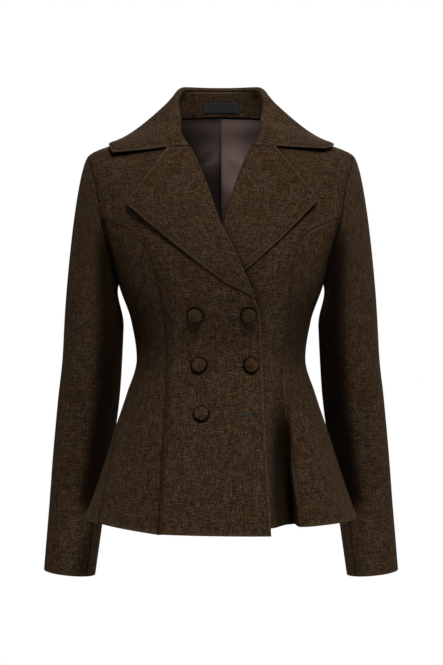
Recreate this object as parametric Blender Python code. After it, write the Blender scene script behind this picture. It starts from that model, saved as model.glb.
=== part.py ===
"""Double-breasted tweed blazer with a flared peplum, filled out as it is worn.

The cloth panels are walls cut from one garment form. The form is a stack of level
sections, and every seam, edge and fold is a line drawn on it. Lengths are in
millimetres and become metres where a mesh is made. The front faces -Y, the wearer's
left is +X, and the origin is the centre of the neck at the height of the shoulder
seams' inner ends.
"""

import bisect
import math
from collections import namedtuple

import bmesh
import bpy
from mathutils import Vector

MM = 0.001

# Cloth
CLOTH = 2.0
LEAF_CLOTH = 2.4
LINING_CLOTH = 1.0
LABEL_CLOTH = 0.8
SEAM_GAP = 0.3
LAYER_GAP = 0.5

# Wearer's sides
RIGHT = -1
LEFT = 1

# Level sections of the form, hem to neck
Section = namedtuple("Section", "height half_width widest_y front_y back_y squareness")
SECTIONS = (
    Section(-600, 205, -30, -172, 122, 2.1),
    Section(-525, 179, -26, -152, 116, 2.1),
    Section(-455, 156, -18, -130, 110, 2.2),
    Section(-395, 136, -10, -112, 100, 2.3),
    Section(-345, 122, -4, -102, 92, 2.3),
    Section(-290, 130, 0, -112, 98, 2.3),
    Section(-250, 144, 0, -126, 106, 2.3),
    Section(-205, 160, 0, -134, 114, 2.2),
    Section(-130, 204, 0, -117, 119, 2.0),
    Section(-80, 212, 0, -94, 113, 2.0),
    Section(-50, 191, 2, -77, 107, 2.0),
    Section(-25, 128, 5, -64, 98, 2.0),
    Section(0, 77, 8, -50, 84, 2.0),
    Section(25, 68, 8, -42, 77, 2.0),
    Section(60, 60, 8, -36, 68, 2.0),
)

# Large folds of the peplum: valleys that open towards the hem
Fold = namedtuple("Fold", "angle_top angle_hem start depth half_angle")
LEFT_FOLDS = (Fold(46, 37, -372, 30, 8.5), Fold(120, 132, -400, 11, 11))
RIGHT_FOLDS = (Fold(-120, -132, -400, 11, 11),)

# Hem
HEM = -571
HEM_DROP = {RIGHT: 19.5, LEFT: 8.0}

# Armhole: an oval on the form
ARMHOLE_TOP = -50
ARMHOLE_FOOT = -238
ARMHOLE_HALF_ANGLE = 20
ARMHOLE_MIDDLE = (ARMHOLE_TOP + ARMHOLE_FOOT) / 2
ARMHOLE_HALF_HEIGHT = (ARMHOLE_TOP - ARMHOLE_FOOT) / 2
INNER_RING = 0.9
SIDE_SEAM = 90
BACK_CENTRE = 180
FULL_TURN = 360

# Front edge, roll line and neck seam of one front, measured past the centre line
EdgePoint = namedtuple("EdgePoint", "height reach")
FRONT_EDGE = (
    EdgePoint(-600, 69),
    EdgePoint(-522, 65),
    EdgePoint(-450, 61),
    EdgePoint(-377, 58),
    EdgePoint(-320, 56),
    EdgePoint(-275, 51.5),
    EdgePoint(-262, 47.5),
    EdgePoint(-221, 33),
    EdgePoint(-186, 17),
    EdgePoint(-156, 1.5),
    EdgePoint(-117, -14),
    EdgePoint(-72, -31),
    EdgePoint(-43.5, -44),
    EdgePoint(-22, -56.8),
    EdgePoint(-6, -70.8),
)
GORGE_HEIGHT = -43.5
NECK_EDGE_HEIGHT = -6.3

# Princess seams, as they fall on each side of the peplum
SeamPoint = namedtuple("SeamPoint", "height right left")
FRONT_SEAM = (
    SeamPoint(-600, 87, 110),
    SeamPoint(-522, 83, 101),
    SeamPoint(-450, 80, 92),
    SeamPoint(-377, 77, 87),
    SeamPoint(-333, 77, 91),
    SeamPoint(-290, 80, 96),
    SeamPoint(-225, 92, 101),
    SeamPoint(-191, 104, 107),
    SeamPoint(-165, 124, 124),
)
BackSeamPoint = namedtuple("BackSeamPoint", "height angle")
BACK_SEAM = (
    BackSeamPoint(-600, 146),
    BackSeamPoint(-450, 144),
    BackSeamPoint(-345, 142),
    BackSeamPoint(-238, 132),
    BackSeamPoint(ARMHOLE_MIDDLE, SIDE_SEAM + ARMHOLE_HALF_ANGLE),
)
SideSeamPoint = namedtuple("SideSeamPoint", "height right left")
SIDE_SEAM_LINE = (
    SideSeamPoint(-600, 66, 84),
    SideSeamPoint(-450, 78, 88),
    SideSeamPoint(-345, 90, 90),
    SideSeamPoint(ARMHOLE_FOOT, 90, 90),
)

# How far the wearer's right front stands off the form where it lies over the left
LapPoint = namedtuple("LapPoint", "height lift")
LAP = (
    LapPoint(-600, 3.2),
    LapPoint(-335, 3.2),
    LapPoint(-268, 10.2),
    LapPoint(-140, 10.2),
    LapPoint(-52, 0),
    LapPoint(60, 0),
)
LAP_MARGIN = 4

# Lapel leaf: break, corner and notch
ROLL_RADIUS = 3.3
LAPEL_CORNER = {RIGHT: EdgePoint(-128, 129), LEFT: EdgePoint(-122, 133)}
LAPEL_NOTCH = {RIGHT: EdgePoint(-47.6, 73), LEFT: EdgePoint(-46.2, 74)}
LAPEL_FOOT = EdgePoint(-257, -38)
LAPEL_BELLY = 8.0
LAPEL_FOOT_LIFT = 0.3
LAPEL_CORNER_LIFT = 4.5

# Collar stations, gorge to centre back
Station = namedtuple(
    "Station", "neck_angle neck_height fold_angle fold_height edge_angle edge_height edge_lift"
)
STATIONS = (
    Station(31.5, -43.2, 31.5, -43.2, 72.4, -57, 5),
    Station(43, -22, 45, -14, 78, -44.5, 4.5),
    Station(62, -6, 70, 18, 85, -37, 3.6),
    Station(90, 0, 92, 37, 94, -34.5, 3),
    Station(120, 6, 120, 49.5, 120, -35, 3),
    Station(150, 10, 150, 51.5, 150, -36, 3),
    Station(180, 12, 180, 52, 180, -36, 3),
)
LEFT_TIP_RISE = 6
STAND_FIRST_STEP = 4
LEAF_PULL = 0.34
LEAF_FALL = 0.3
EDGE_STEP = 0.1
FOLD_STEP = 0.004
LAID_SHARE = 0.2
GORGE_BEND = 1.3

# Sleeve sections, biceps to cuff, on the wearer's left
SleeveSection = namedtuple("SleeveSection", "height centre_x centre_y half_width half_depth tilt")
SLEEVE_SECTIONS = (
    SleeveSection(-300, 185.5, 17, 43.5, 57, 0),
    SleeveSection(-345, 188.5, 26, 44, 55, 0),
    SleeveSection(-406, 195, 41, 45.5, 52, 0),
    SleeveSection(-478, 204, 58, 44.5, 50, 0),
    SleeveSection(-577, 215.5, 73, 41, 47, 1),
    SleeveSection(-663, 225, 70, 38, 46, 4),
)
CAP_TOP_PULL = 0.075
CAP_SIDE_PULL = 0.30
CAP_TOP_SPREAD = 0.1
CAP_SIDE_SPREAD = 0.5
CAP_SIDE_DROP = 1.2
CAP_DROP = 0.40
SLEEVE_FRONT_SEAM = 9
SLEEVE_BACK_SEAM = 16

# Grid sizes
QUARTER = 6
BODY_ROWS = 18
SHOULDER_ROWS = 5
FRONT_COLUMNS = 9
BACK_COLUMNS = 6
CAP_ROWS = 7
ARM_ROWS = 10
LAPEL_LOWER_ROWS = 8
LAPEL_UPPER_ROWS = 6
LEAF_COLUMNS = 6
ROLL_STEPS = 4
COLLAR_STEPS = 30
STAND_ROWS = 5
RING = 4 * QUARTER
NORMAL_TURN = 0.5
NORMAL_RISE = 1.0
SHARP_ANGLE = 50

# Buttons, rows top to bottom, with the outer column and the column by the edge
ButtonRow = namedtuple("ButtonRow", "height outer edge shank")
BUTTON_ROWS = (
    ButtonRow(-279.5, -34, 36.5, 1.1),
    ButtonRow(-353, -30, 41, 1.2),
    ButtonRow(-421, -27, None, 0.4),
)
BUTTON_SIDES = 16
ProfilePoint = namedtuple("ProfilePoint", "radius height")
BUTTON_PROFILE = (
    ProfilePoint(8.6, 0.0),
    ProfilePoint(10.8, 2.0),
    ProfilePoint(11.0, 3.4),
    ProfilePoint(9.4, 6.0),
    ProfilePoint(5.6, 7.6),
)
BUTTON_CROWN = 8.1

# Lining and label
LINING_HEM_ROW = 1
PLEAT_UNDERLAP_COLUMN = 1
PLEAT_EASE = (1, 1, 1, 0.5, 0, 0, 0)
LABEL_HALF_STEPS = 2
LABEL_FOOT_ROW = 1
LABEL_TOP_ROW = 3

# Colours: base, roughness
TWEED = ((0.036, 0.022, 0.013, 1.0), 0.92)
SATIN = ((0.085, 0.058, 0.052, 1.0), 0.38)
LABEL_BLACK = ((0.012, 0.013, 0.012, 1.0), 0.7)


class Curve:
    """A smooth curve through a table's points that never overshoots them."""

    def __init__(self, places, values):
        self.places = list(places)
        self.values = list(values)
        steps = [b - a for a, b in zip(self.places, self.places[1:])]
        slopes = [(b - a) / s for a, b, s in zip(self.values, self.values[1:], steps)]
        self.tangents = [slopes[0]]
        for before, after in zip(slopes, slopes[1:]):
            flat = before * after <= 0
            self.tangents.append(0.0 if flat else 2 * before * after / (before + after))
        self.tangents.append(slopes[-1])

    def __call__(self, place):
        k = min(max(bisect.bisect_right(self.places, place) - 1, 0), len(self.places) - 2)
        step = self.places[k + 1] - self.places[k]
        t = min(max((place - self.places[k]) / step, 0.0), 1.0)
        return (
            (1 + 2 * t) * (1 - t) ** 2 * self.values[k]
            + t * (1 - t) ** 2 * step * self.tangents[k]
            + t * t * (3 - 2 * t) * self.values[k + 1]
            + t * t * (t - 1) * step * self.tangents[k + 1]
        )


def curves(table, key):
    """One curve for each column of a table of named tuples, by the key column."""
    places = [getattr(row, key) for row in table]
    return {name: Curve(places, [getattr(row, name) for row in table]) for name in table[0]._fields}


FORM = curves(SECTIONS, "height")
EDGE = curves(FRONT_EDGE, "height")
PRINCESS = curves(FRONT_SEAM, "height")
BACK_PRINCESS = curves(BACK_SEAM, "height")
SIDE_LINE = curves(SIDE_SEAM_LINE, "height")
LAP_LIFT = curves(LAP, "height")
SLEEVE = curves(SLEEVE_SECTIONS[::-1], "height")
BACK_STATIONS = STATIONS[3:]
BACK_NECK = curves(BACK_STATIONS, "neck_angle")["neck_height"]
NECK_TOP = BACK_STATIONS[0].neck_height - SEAM_GAP


def lerp(a, b, t):
    return a + (b - a) * t


def smoothstep(t):
    t = min(max(t, 0.0), 1.0)
    return t * t * (3 - 2 * t)


def folds_of(side):
    return RIGHT_FOLDS if side == RIGHT else LEFT_FOLDS


def fold_depth(angle, height, folds):
    """How far the folds draw the form in at an angle and height."""
    depth = 0.0
    for fold in folds:
        opening = (fold.start - height) / (fold.start - HEM)
        if opening > 0:
            middle = lerp(fold.angle_top, fold.angle_hem, opening)
            off = (angle - middle) / fold.half_angle
            depth += fold.depth * smoothstep(opening) * math.exp(-off * off)
    return depth


def skin(angle, height, folds=()):
    """The form's own point at an angle in degrees, 0 at the front and 90 at the wearer's left."""
    across = abs(math.sin(math.radians(angle)))
    along = math.cos(math.radians(angle))
    middle = FORM["widest_y"](height)
    depth = middle - FORM["front_y"](height) if along >= 0 else FORM["back_y"](height) - middle
    power = FORM["squareness"](height)
    wide = (across / FORM["half_width"](height)) ** power
    deep = (abs(along) / depth) ** power
    radius = (wide + deep) ** (-1 / power) - fold_depth(angle, height, folds)
    turn = math.radians(angle)
    return Vector((radius * math.sin(turn), middle - radius * math.cos(turn), height))


def skin_normal(angle, height, folds=()):
    around = skin(angle + NORMAL_TURN, height, folds) - skin(angle - NORMAL_TURN, height, folds)
    up = skin(angle, height + NORMAL_RISE, folds) - skin(angle, height - NORMAL_RISE, folds)
    return around.cross(up).normalized()


def form_point(angle, height, lift=0.0, folds=()):
    """A point lifted off the form along its normal."""
    return skin(angle, height, folds) + skin_normal(angle, height, folds) * lift


def front_angle(x, height):
    """The angle at which the front of the form is x from the centre line."""
    half_width = FORM["half_width"](height)
    depth = FORM["widest_y"](height) - FORM["front_y"](height)
    power = FORM["squareness"](height)
    share = min(abs(x) / half_width, 1.0) ** power
    return math.degrees(math.atan2(x, depth * (1 - share) ** (1 / power)))


def gap_angle(angle, height):
    """Half a seam's gap as an angle."""
    point = skin(angle, height)
    return math.degrees(SEAM_GAP / 2 / math.hypot(point.x, point.y))


def hem_height(angle, side):
    """The hem dips towards the front."""
    return HEM - HEM_DROP[side] * max(math.cos(math.radians(angle)), 0.0) ** 2


def edge_angle(side, height):
    """Where a front's own edge, roll line or neck seam lies at a height."""
    return front_angle(-side * EDGE["reach"](height), height)


def princess_angle(side, height):
    """The front princess seam's angle, bending into the armhole at its widest."""
    column = "right" if side == RIGHT else "left"
    last = FRONT_SEAM[-1].height
    if height <= last:
        return front_angle(side * PRINCESS[column](height), height)
    foot = front_angle(side * FRONT_SEAM[-1][1], last)
    top = side * (SIDE_SEAM - ARMHOLE_HALF_ANGLE)
    rise = (height - last) / (ARMHOLE_MIDDLE - last)
    return lerp(foot, top, rise)


def side_angle(side, height):
    return side * SIDE_LINE["right" if side == RIGHT else "left"](height)


def back_princess_angle(side, height):
    return side * BACK_PRINCESS["angle"](height)


def seam_height(angle_at_hem, side, top, share):
    """Height at a share of a seam that runs from the hem to a top."""
    return lerp(hem_height(angle_at_hem, side), top, share)


def armhole_opening(step):
    """Half the armhole's angle and its height, a step up the upper quarter."""
    turn = math.radians(90 * step / QUARTER)
    return ARMHOLE_HALF_ANGLE * math.cos(turn), ARMHOLE_MIDDLE + ARMHOLE_HALF_HEIGHT * math.sin(turn)


def lap_lift(side, angle, height):
    """The right front's lift, fading out between the left front's edge and the seam."""
    if side == LEFT:
        return 0.0
    hidden_edge = edge_angle(LEFT, height)
    seam = princess_angle(RIGHT, min(height, ARMHOLE_MIDDLE))
    share = (angle - seam) / (hidden_edge - LAP_MARGIN - seam)
    return LAP_LIFT["lift"](height) * smoothstep(share)


def panel_rows(side, is_front):
    """For each row of a centre panel: its outer angle and height, and its inner height."""
    seam_angle = princess_angle if is_front else back_princess_angle
    outer_sign = -1 if is_front else 1
    hem_angle = seam_angle(side, HEM)
    inner_hem = hem_height(edge_angle(side, HEM) if is_front else BACK_CENTRE, side)
    rows = []
    for i in range(BODY_ROWS + 1):
        share = i / BODY_ROWS
        height = seam_height(hem_angle, side, ARMHOLE_MIDDLE, share)
        angle = seam_angle(side, height)
        rows.append((angle, height, lerp(inner_hem, ARMHOLE_MIDDLE, share)))
    for i in range(1, QUARTER + 1):
        opening, height = armhole_opening(i)
        rows.append((side * (SIDE_SEAM + outer_sign * opening), height, height))
    for i in range(1, SHOULDER_ROWS + 1):
        rise = i / SHOULDER_ROWS
        height = lerp(ARMHOLE_TOP, NECK_TOP, rise)
        inner_top = NECK_EDGE_HEIGHT if is_front else NECK_TOP
        rows.append((side * SIDE_SEAM, height, lerp(ARMHOLE_TOP, inner_top, rise)))
    gap_side = side * outer_sign
    return [(a + gap_side * gap_angle(a, h), h, inner) for a, h, inner in rows]


def front_centre(side):
    """Outer and inner grids of a centre front, hem to shoulder, edge to princess seam."""
    folds = folds_of(side) if side == LEFT else ()
    outer, inner = [], []
    for outer_angle, outer_height, inner_height in panel_rows(side, True):
        start = edge_angle(side, inner_height)
        outer.append([])
        inner.append([])
        for j in range(FRONT_COLUMNS + 1):
            share = j / FRONT_COLUMNS
            angle = lerp(start, outer_angle, share)
            height = lerp(inner_height, outer_height, share)
            lift = lap_lift(side, angle, height)
            outer[-1].append(form_point(angle, height, lift, folds))
            inner[-1].append(form_point(angle, height, lift - CLOTH, folds))
    return outer, inner


def back_grid(side):
    """Angle and height of every point of a centre back, hem to neck, centre to princess seam."""
    grid = []
    for outer_angle, outer_height, inner_height in panel_rows(side, False):
        rise = smoothstep((outer_height - ARMHOLE_TOP) / (NECK_TOP - ARMHOLE_TOP))
        row = []
        for j in range(BACK_COLUMNS + 1):
            share = j / BACK_COLUMNS
            height = lerp(inner_height, outer_height, share)
            centre = side * (BACK_CENTRE - gap_angle(BACK_CENTRE, height))
            angle = lerp(centre, outer_angle, share)
            neck = BACK_NECK(min(abs(angle), BACK_CENTRE)) - SEAM_GAP
            row.append((angle, height + (neck - NECK_TOP) * rise))
        grid.append(row)
    return grid


def back_wall(side, grid, lifts, thickness):
    """Outer and inner points of a wall on the back of the form, a lift for each column."""
    folds = folds_of(side)
    return [
        [[form_point(a, h, lift - depth, folds) for (a, h), lift in zip(row, lifts)] for row in grid]
        for depth in (0, thickness)
    ]


def side_panel(side, is_front):
    """Outer and inner grids of a side front or side back, its top cut to the armhole."""
    folds = folds_of(side)
    seam_angle = princess_angle if is_front else back_princess_angle
    turn_sign = -1 if is_front else 1
    outer, inner = [], []
    for i in range(BODY_ROWS + 1):
        rise = i / BODY_ROWS
        seam_h = seam_height(seam_angle(side, HEM), side, ARMHOLE_MIDDLE, rise)
        side_h = seam_height(side_angle(side, HEM), side, ARMHOLE_FOOT, rise)
        seam_a = seam_angle(side, seam_h)
        side_a = side_angle(side, side_h)
        seam_a -= side * turn_sign * gap_angle(seam_a, seam_h)
        side_a += side * turn_sign * gap_angle(side_a, side_h)
        outer.append([])
        inner.append([])
        for j in range(QUARTER + 1):
            share = j / QUARTER
            turn = math.radians(90 * share)
            angle = lerp(seam_a, side_a, lerp(share, 1 - math.cos(turn), rise))
            height = lerp(seam_h, side_h, lerp(share, math.sin(turn), rise))
            outer[-1].append(form_point(angle, height, 0, folds))
            inner[-1].append(form_point(angle, height, -CLOTH, folds))
    return outer, inner


def grid_normals(grid, closed=False):
    """Normals of a grid of points, down its rows and across its columns."""
    last_row, last_column = len(grid) - 1, len(grid[0]) - 1
    normals = []
    for i, row in enumerate(grid):
        normals.append([])
        for j in range(len(row)):
            before, after = max(j - 1, 0), min(j + 1, last_column)
            if closed:
                before, after = (j - 1) % (last_column + 1), (j + 1) % (last_column + 1)
            across = row[after] - row[before]
            down = grid[min(i + 1, last_row)][j] - grid[max(i - 1, 0)][j]
            normals[-1].append(across.cross(down).normalized())
    return normals


def moved(grid, normals, distance):
    return [[p + n * distance for p, n in zip(row, ns)] for row, ns in zip(grid, normals)]


def folded_row(centre, across, out, leaf):
    """A half turn round a fold's centre, then the leaf's points."""
    row = []
    for k in range(ROLL_STEPS):
        turn = math.pi * k / ROLL_STEPS
        row.append(centre - ROLL_RADIUS * (out * math.cos(turn) + across * math.sin(turn)))
    return row + leaf


def lapel_rows(side):
    """Each lapel row's height at the roll, its height and reach at the edge, and its edge's lift."""
    corner, notch = LAPEL_CORNER[side], LAPEL_NOTCH[side]
    rows = []
    for i in range(LAPEL_LOWER_ROWS):
        rise = i / LAPEL_LOWER_ROWS
        height = lerp(LAPEL_FOOT.height, corner.height, rise)
        belly = LAPEL_BELLY * math.sin(math.pi * rise)
        reach = lerp(LAPEL_FOOT.reach, corner.reach, rise) + belly
        rows.append((height, height, reach, lerp(LAPEL_FOOT_LIFT, LAPEL_CORNER_LIFT, rise**3)))
    for i in range(LAPEL_UPPER_ROWS + 1):
        rise = i / LAPEL_UPPER_ROWS
        height = lerp(corner.height, GORGE_HEIGHT - SEAM_GAP, rise)
        edge_height = lerp(corner.height, notch.height, rise)
        reach = lerp(corner.reach, notch.reach, rise)
        rows.append((height, edge_height, reach, LAPEL_CORNER_LIFT))
    return rows


def lapel(side):
    """Middle grid of a lapel, break to gorge, from the roll out to its edge."""
    grid = []
    for roll_height, edge_height, reach, edge_lift in lapel_rows(side):
        roll_x = -side * EDGE["reach"](roll_height)
        roll_angle = front_angle(roll_x, roll_height)
        base = lap_lift(side, roll_angle, roll_height) - CLOTH / 2
        centre = form_point(roll_angle, roll_height, base)
        leaf = []
        for j in range(LEAF_COLUMNS + 1):
            along = j / LEAF_COLUMNS
            height = lerp(roll_height, edge_height, along)
            angle = front_angle(lerp(roll_x, side * reach, along), height)
            lift = lap_lift(side, angle, height) - CLOTH / 2 + ROLL_RADIUS
            leaf.append(form_point(angle, height, lift + edge_lift * along**2))
        across = (leaf[1] - leaf[0]).normalized()
        grid.append(folded_row(centre, across, skin_normal(roll_angle, roll_height), leaf))
    return grid


def collar_curves():
    """Curves of every station column along the whole collar, 0 to 1 right to left."""
    last = 2 * (len(STATIONS) - 1)
    places = [k / last for k in range(last + 1)]
    found = {}
    for name in Station._fields:
        right = [getattr(station, name) for station in STATIONS]
        left = right[-2::-1]
        if name.endswith("angle"):
            left = [FULL_TURN - value for value in left]
        if name == "edge_height":
            left[-1] += LEFT_TIP_RISE
        found[name] = Curve(places, right + left)
    return found


COLLAR = collar_curves()


def collar_point(part, share, lift=0.0, towards=None, step=0.0):
    """A station point of the collar's neck, fold or edge line, or one a step towards another."""
    angle, height = COLLAR[part + "_angle"](share), COLLAR[part + "_height"](share)
    if towards:
        angle = lerp(angle, COLLAR[towards + "_angle"](share), step)
        height = lerp(height, COLLAR[towards + "_height"](share), step)
    return form_point(-angle, height, lift)


def laid_point(share, t):
    """A point of the collar's fall where it lies flat on the front, by the gorge."""
    angle = lerp(COLLAR["fold_angle"](share), COLLAR["edge_angle"](share), t)
    drop = t**GORGE_BEND
    height = lerp(COLLAR["fold_height"](share), COLLAR["edge_height"](share), drop)
    flat = ROLL_RADIUS - CLOTH / 2
    return form_point(-angle, height, lerp(flat, COLLAR["edge_lift"](share), t * t))


def leaf_freedom(share):
    """How far the fall stands off the form: none at the gorge, all of it behind the front."""
    return smoothstep(min(share, 1 - share) / LAID_SHARE)


def collar_frame(share):
    """The fold's centre, the leaf's edge, and the directions across the leaf and out of it."""
    centre = collar_point("fold", share, -CLOTH / 2)
    edge = collar_point("edge", share, COLLAR["edge_lift"](share))
    ahead, behind = min(share + FOLD_STEP, 1), max(share - FOLD_STEP, 0)
    along = collar_point("fold", ahead) - collar_point("fold", behind)
    flat = (laid_point(share, 1 / LEAF_COLUMNS) - laid_point(share, 0)).normalized()
    falling = (edge - centre).normalized().lerp(Vector((0, 0, -1)), LEAF_FALL)
    across = flat.lerp(falling, leaf_freedom(share))
    out = along.cross(across).normalized()
    across = out.cross(along).normalized()
    return centre, edge, across, out


def bezier(start, first, second, end, t):
    u = 1 - t
    return start * u**3 + first * (3 * u * u * t) + second * (3 * u * t * t) + end * t**3


def collar_fall():
    """Middle grid of the collar's fall: fold to outer edge, right gorge to left gorge."""
    grid = []
    for i in range(COLLAR_STEPS + 1):
        share = i / COLLAR_STEPS
        centre, edge, across, out = collar_frame(share)
        start = centre + out * ROLL_RADIUS
        length = (edge - start).length
        lift = COLLAR["edge_lift"](share)
        arrive = (edge - collar_point("edge", share, lift, "fold", EDGE_STEP)).normalized()
        first = start + across * length * LEAF_PULL
        second = edge - arrive * length * LEAF_PULL
        free = leaf_freedom(share)
        leaf = []
        for j in range(LEAF_COLUMNS + 1):
            t = j / LEAF_COLUMNS
            leaf.append(laid_point(share, t).lerp(bezier(start, first, second, edge, t), free))
        grid.append(folded_row(centre, across, out, leaf))
    return grid


def stand_row(share):
    """Middle points of the collar stand at a share of the collar, neck seam to fold."""
    centre, _, across, out = collar_frame(share)
    top = centre - out * ROLL_RADIUS + across * (2 * SEAM_GAP)
    foot = collar_point("neck", share, -CLOTH / 2)
    foot.z = COLLAR["neck_height"](share)
    first = foot.lerp(top, 1 / 3)
    second = top + across * ((top - foot).length / 3)
    return [bezier(foot, first, second, top, j / STAND_ROWS) for j in range(STAND_ROWS + 1)]


def collar_stand():
    """Middle grid of the stand, which runs out before the gorge."""
    first, last = STAND_FIRST_STEP, COLLAR_STEPS - STAND_FIRST_STEP
    return [stand_row(i / COLLAR_STEPS) for i in range(first, last + 1)]


def armhole_ring(side):
    """For each step round the armhole: its point, the form's normal and the way into the hole."""
    ring = []
    for k in range(RING):
        turn = 2 * math.pi * k / RING
        angle = side * (SIDE_SEAM - ARMHOLE_HALF_ANGLE * math.sin(turn))
        height = ARMHOLE_MIDDLE + ARMHOLE_HALF_HEIGHT * math.cos(turn)
        point = skin(angle, height)
        inside = side * (SIDE_SEAM - INNER_RING * ARMHOLE_HALF_ANGLE * math.sin(turn))
        inner = skin(inside, ARMHOLE_MIDDLE + INNER_RING * ARMHOLE_HALF_HEIGHT * math.cos(turn))
        normal = skin_normal(angle, height)
        into = inner - point
        into = (into - normal * into.dot(normal)).normalized()
        ring.append((point, normal, into, (1 + math.cos(turn)) / 2))
    return ring


def sleeve_point(side, k, height):
    """A point of the arm at a step round it and a height at its middle."""
    turn = 2 * math.pi * k / RING
    out = math.cos(turn) * SLEEVE["half_width"](height)
    x = SLEEVE["centre_x"](height) + out
    y = SLEEVE["centre_y"](height) - math.sin(turn) * SLEEVE["half_depth"](height)
    tip = math.cos(turn) * SLEEVE["tilt"](height)
    return Vector((side * x, y, height + tip))


def sleeve(side):
    """Outer grid of a whole sleeve, armhole to cuff, closed round the arm."""
    biceps, cuff = SLEEVE_SECTIONS[0].height, SLEEVE_SECTIONS[-1].height
    ring = armhole_ring(side)
    down = Vector((0, 0, -1))
    grid = [[] for _ in range(CAP_ROWS + ARM_ROWS + 1)]
    for k, (point, normal, into, topness) in enumerate(ring):
        start = point + (into * topness + normal * (1 - topness)) * SEAM_GAP
        end = sleeve_point(side, k, biceps)
        spread = lerp(CAP_SIDE_SPREAD, CAP_TOP_SPREAD, topness)
        leave = into * topness + normal * spread + down * (CAP_SIDE_DROP * (1 - topness))
        arrive = sleeve_point(side, k, biceps - 1) - sleeve_point(side, k, biceps)
        reach = (end - start).length
        first = start + leave.normalized() * reach * lerp(CAP_SIDE_PULL, CAP_TOP_PULL, topness)
        second = end - arrive.normalized() * reach * CAP_DROP
        for i in range(CAP_ROWS):
            grid[i].append(bezier(start, first, second, end, i / CAP_ROWS))
        for i in range(ARM_ROWS + 1):
            grid[CAP_ROWS + i].append(sleeve_point(side, k, lerp(biceps, cuff, i / ARM_ROWS)))
    return grid


def columns(grid, first, last):
    """Columns first to last of a closed grid, going round, the end ones drawn in by half a gap."""
    count = (last - first) % RING
    picked = [(first + j) % RING for j in range(count + 1)]
    cut = []
    for row in grid:
        points = [row[j].copy() for j in picked]
        points[0] += (points[1] - points[0]).normalized() * SEAM_GAP / 2
        points[-1] += (points[-2] - points[-1]).normalized() * SEAM_GAP / 2
        cut.append(points)
    return cut


def cloth_material(name, colour, roughness):
    material = bpy.data.materials.new(name)
    material.use_nodes = True
    shader = material.node_tree.nodes["Principled BSDF"]
    shader.inputs["Base Color"].default_value = colour
    shader.inputs["Roughness"].default_value = roughness
    shader.inputs["Metallic"].default_value = 0.0
    return material


def finish_object(name, mesh_data, material):
    """Closes a mesh into an object with its faces out and its material on."""
    bmesh.ops.recalc_face_normals(mesh_data, faces=mesh_data.faces)
    mesh = bpy.data.meshes.new(name)
    mesh_data.to_mesh(mesh)
    mesh_data.free()
    mesh.materials.append(material)
    mesh.shade_smooth()
    mesh.set_sharp_from_angle(angle=math.radians(SHARP_ANGLE))
    made = bpy.data.objects.new(name, mesh)
    bpy.context.scene.collection.objects.link(made)
    return made


def wall(name, outer, inner, material):
    """A closed cloth wall between two grids of points."""
    made = bmesh.new()
    layers = [[[made.verts.new(p * MM) for p in row] for row in grid] for grid in (outer, inner)]
    rows, across = len(outer) - 1, len(outer[0]) - 1
    for layer in layers:
        for i in range(rows):
            for j in range(across):
                made.faces.new(
                    (layer[i][j], layer[i][j + 1], layer[i + 1][j + 1], layer[i + 1][j])
                )
    rim = [(0, j) for j in range(across)] + [(i, across) for i in range(rows)]
    rim += [(rows, j) for j in range(across, 0, -1)] + [(i, 0) for i in range(rows, 0, -1)]
    for (i, j), (m, n) in zip(rim, rim[1:] + rim[:1]):
        made.faces.new((layers[0][i][j], layers[0][m][n], layers[1][m][n], layers[1][i][j]))
    return finish_object(name, made, material)


def leaf_wall(name, middle, thickness, material):
    """A wall of even thickness about a middle grid."""
    normals = grid_normals(middle)
    half = thickness / 2
    return wall(name, moved(middle, normals, half), moved(middle, normals, -half), material)


def build_body(tweed):
    for side, word in ((RIGHT, "right"), (LEFT, "left")):
        wall(f"front_centre_{word}", *front_centre(side), tweed)
        wall(f"front_side_{word}", *side_panel(side, True), tweed)
        wall(f"back_side_{word}", *side_panel(side, False), tweed)
        flat = [0] * (BACK_COLUMNS + 1)
        wall(f"back_centre_{word}", *back_wall(side, back_grid(side), flat, CLOTH), tweed)
        leaf_wall(f"lapel_{word}", lapel(side), LEAF_CLOTH, tweed)


def build_sleeves(tweed):
    for side, word in ((RIGHT, "right"), (LEFT, "left")):
        outer = sleeve(side)
        normals = grid_normals(outer, closed=True)
        for k, (_, normal, _, topness) in enumerate(armhole_ring(side)):
            normals[0][k] = normals[0][k].lerp(side * normal, topness).normalized()
        inner = moved(outer, normals, -side * CLOTH)
        pieces = (
            ("top", SLEEVE_BACK_SEAM, SLEEVE_FRONT_SEAM),
            ("under", SLEEVE_FRONT_SEAM, SLEEVE_BACK_SEAM),
        )
        for piece, first, last in pieces:
            wall(
                f"sleeve_{piece}_{word}",
                columns(outer, first, last),
                columns(inner, first, last),
                tweed,
            )


def build_collar(tweed, black):
    leaf_wall("collar_fall", collar_fall(), LEAF_CLOTH, tweed)
    stand = collar_stand()
    leaf_wall("collar_stand", stand, CLOTH, tweed)
    build_label(stand, black)


def build_label(stand, black):
    """A bare woven label on the stand's inner face at the centre back."""
    middle = len(stand) // 2
    normals = grid_normals(stand)
    rows = []
    for i in range(middle - LABEL_HALF_STEPS, middle + LABEL_HALF_STEPS + 1):
        rows.append([(stand[i][j], normals[i][j]) for j in range(LABEL_FOOT_ROW, LABEL_TOP_ROW + 1)])
    near = CLOTH / 2 + SEAM_GAP
    faces = [[[p - n * lift for p, n in row] for row in rows] for lift in (near, near + LABEL_CLOTH)]
    wall("neck_label", *faces, black)


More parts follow.
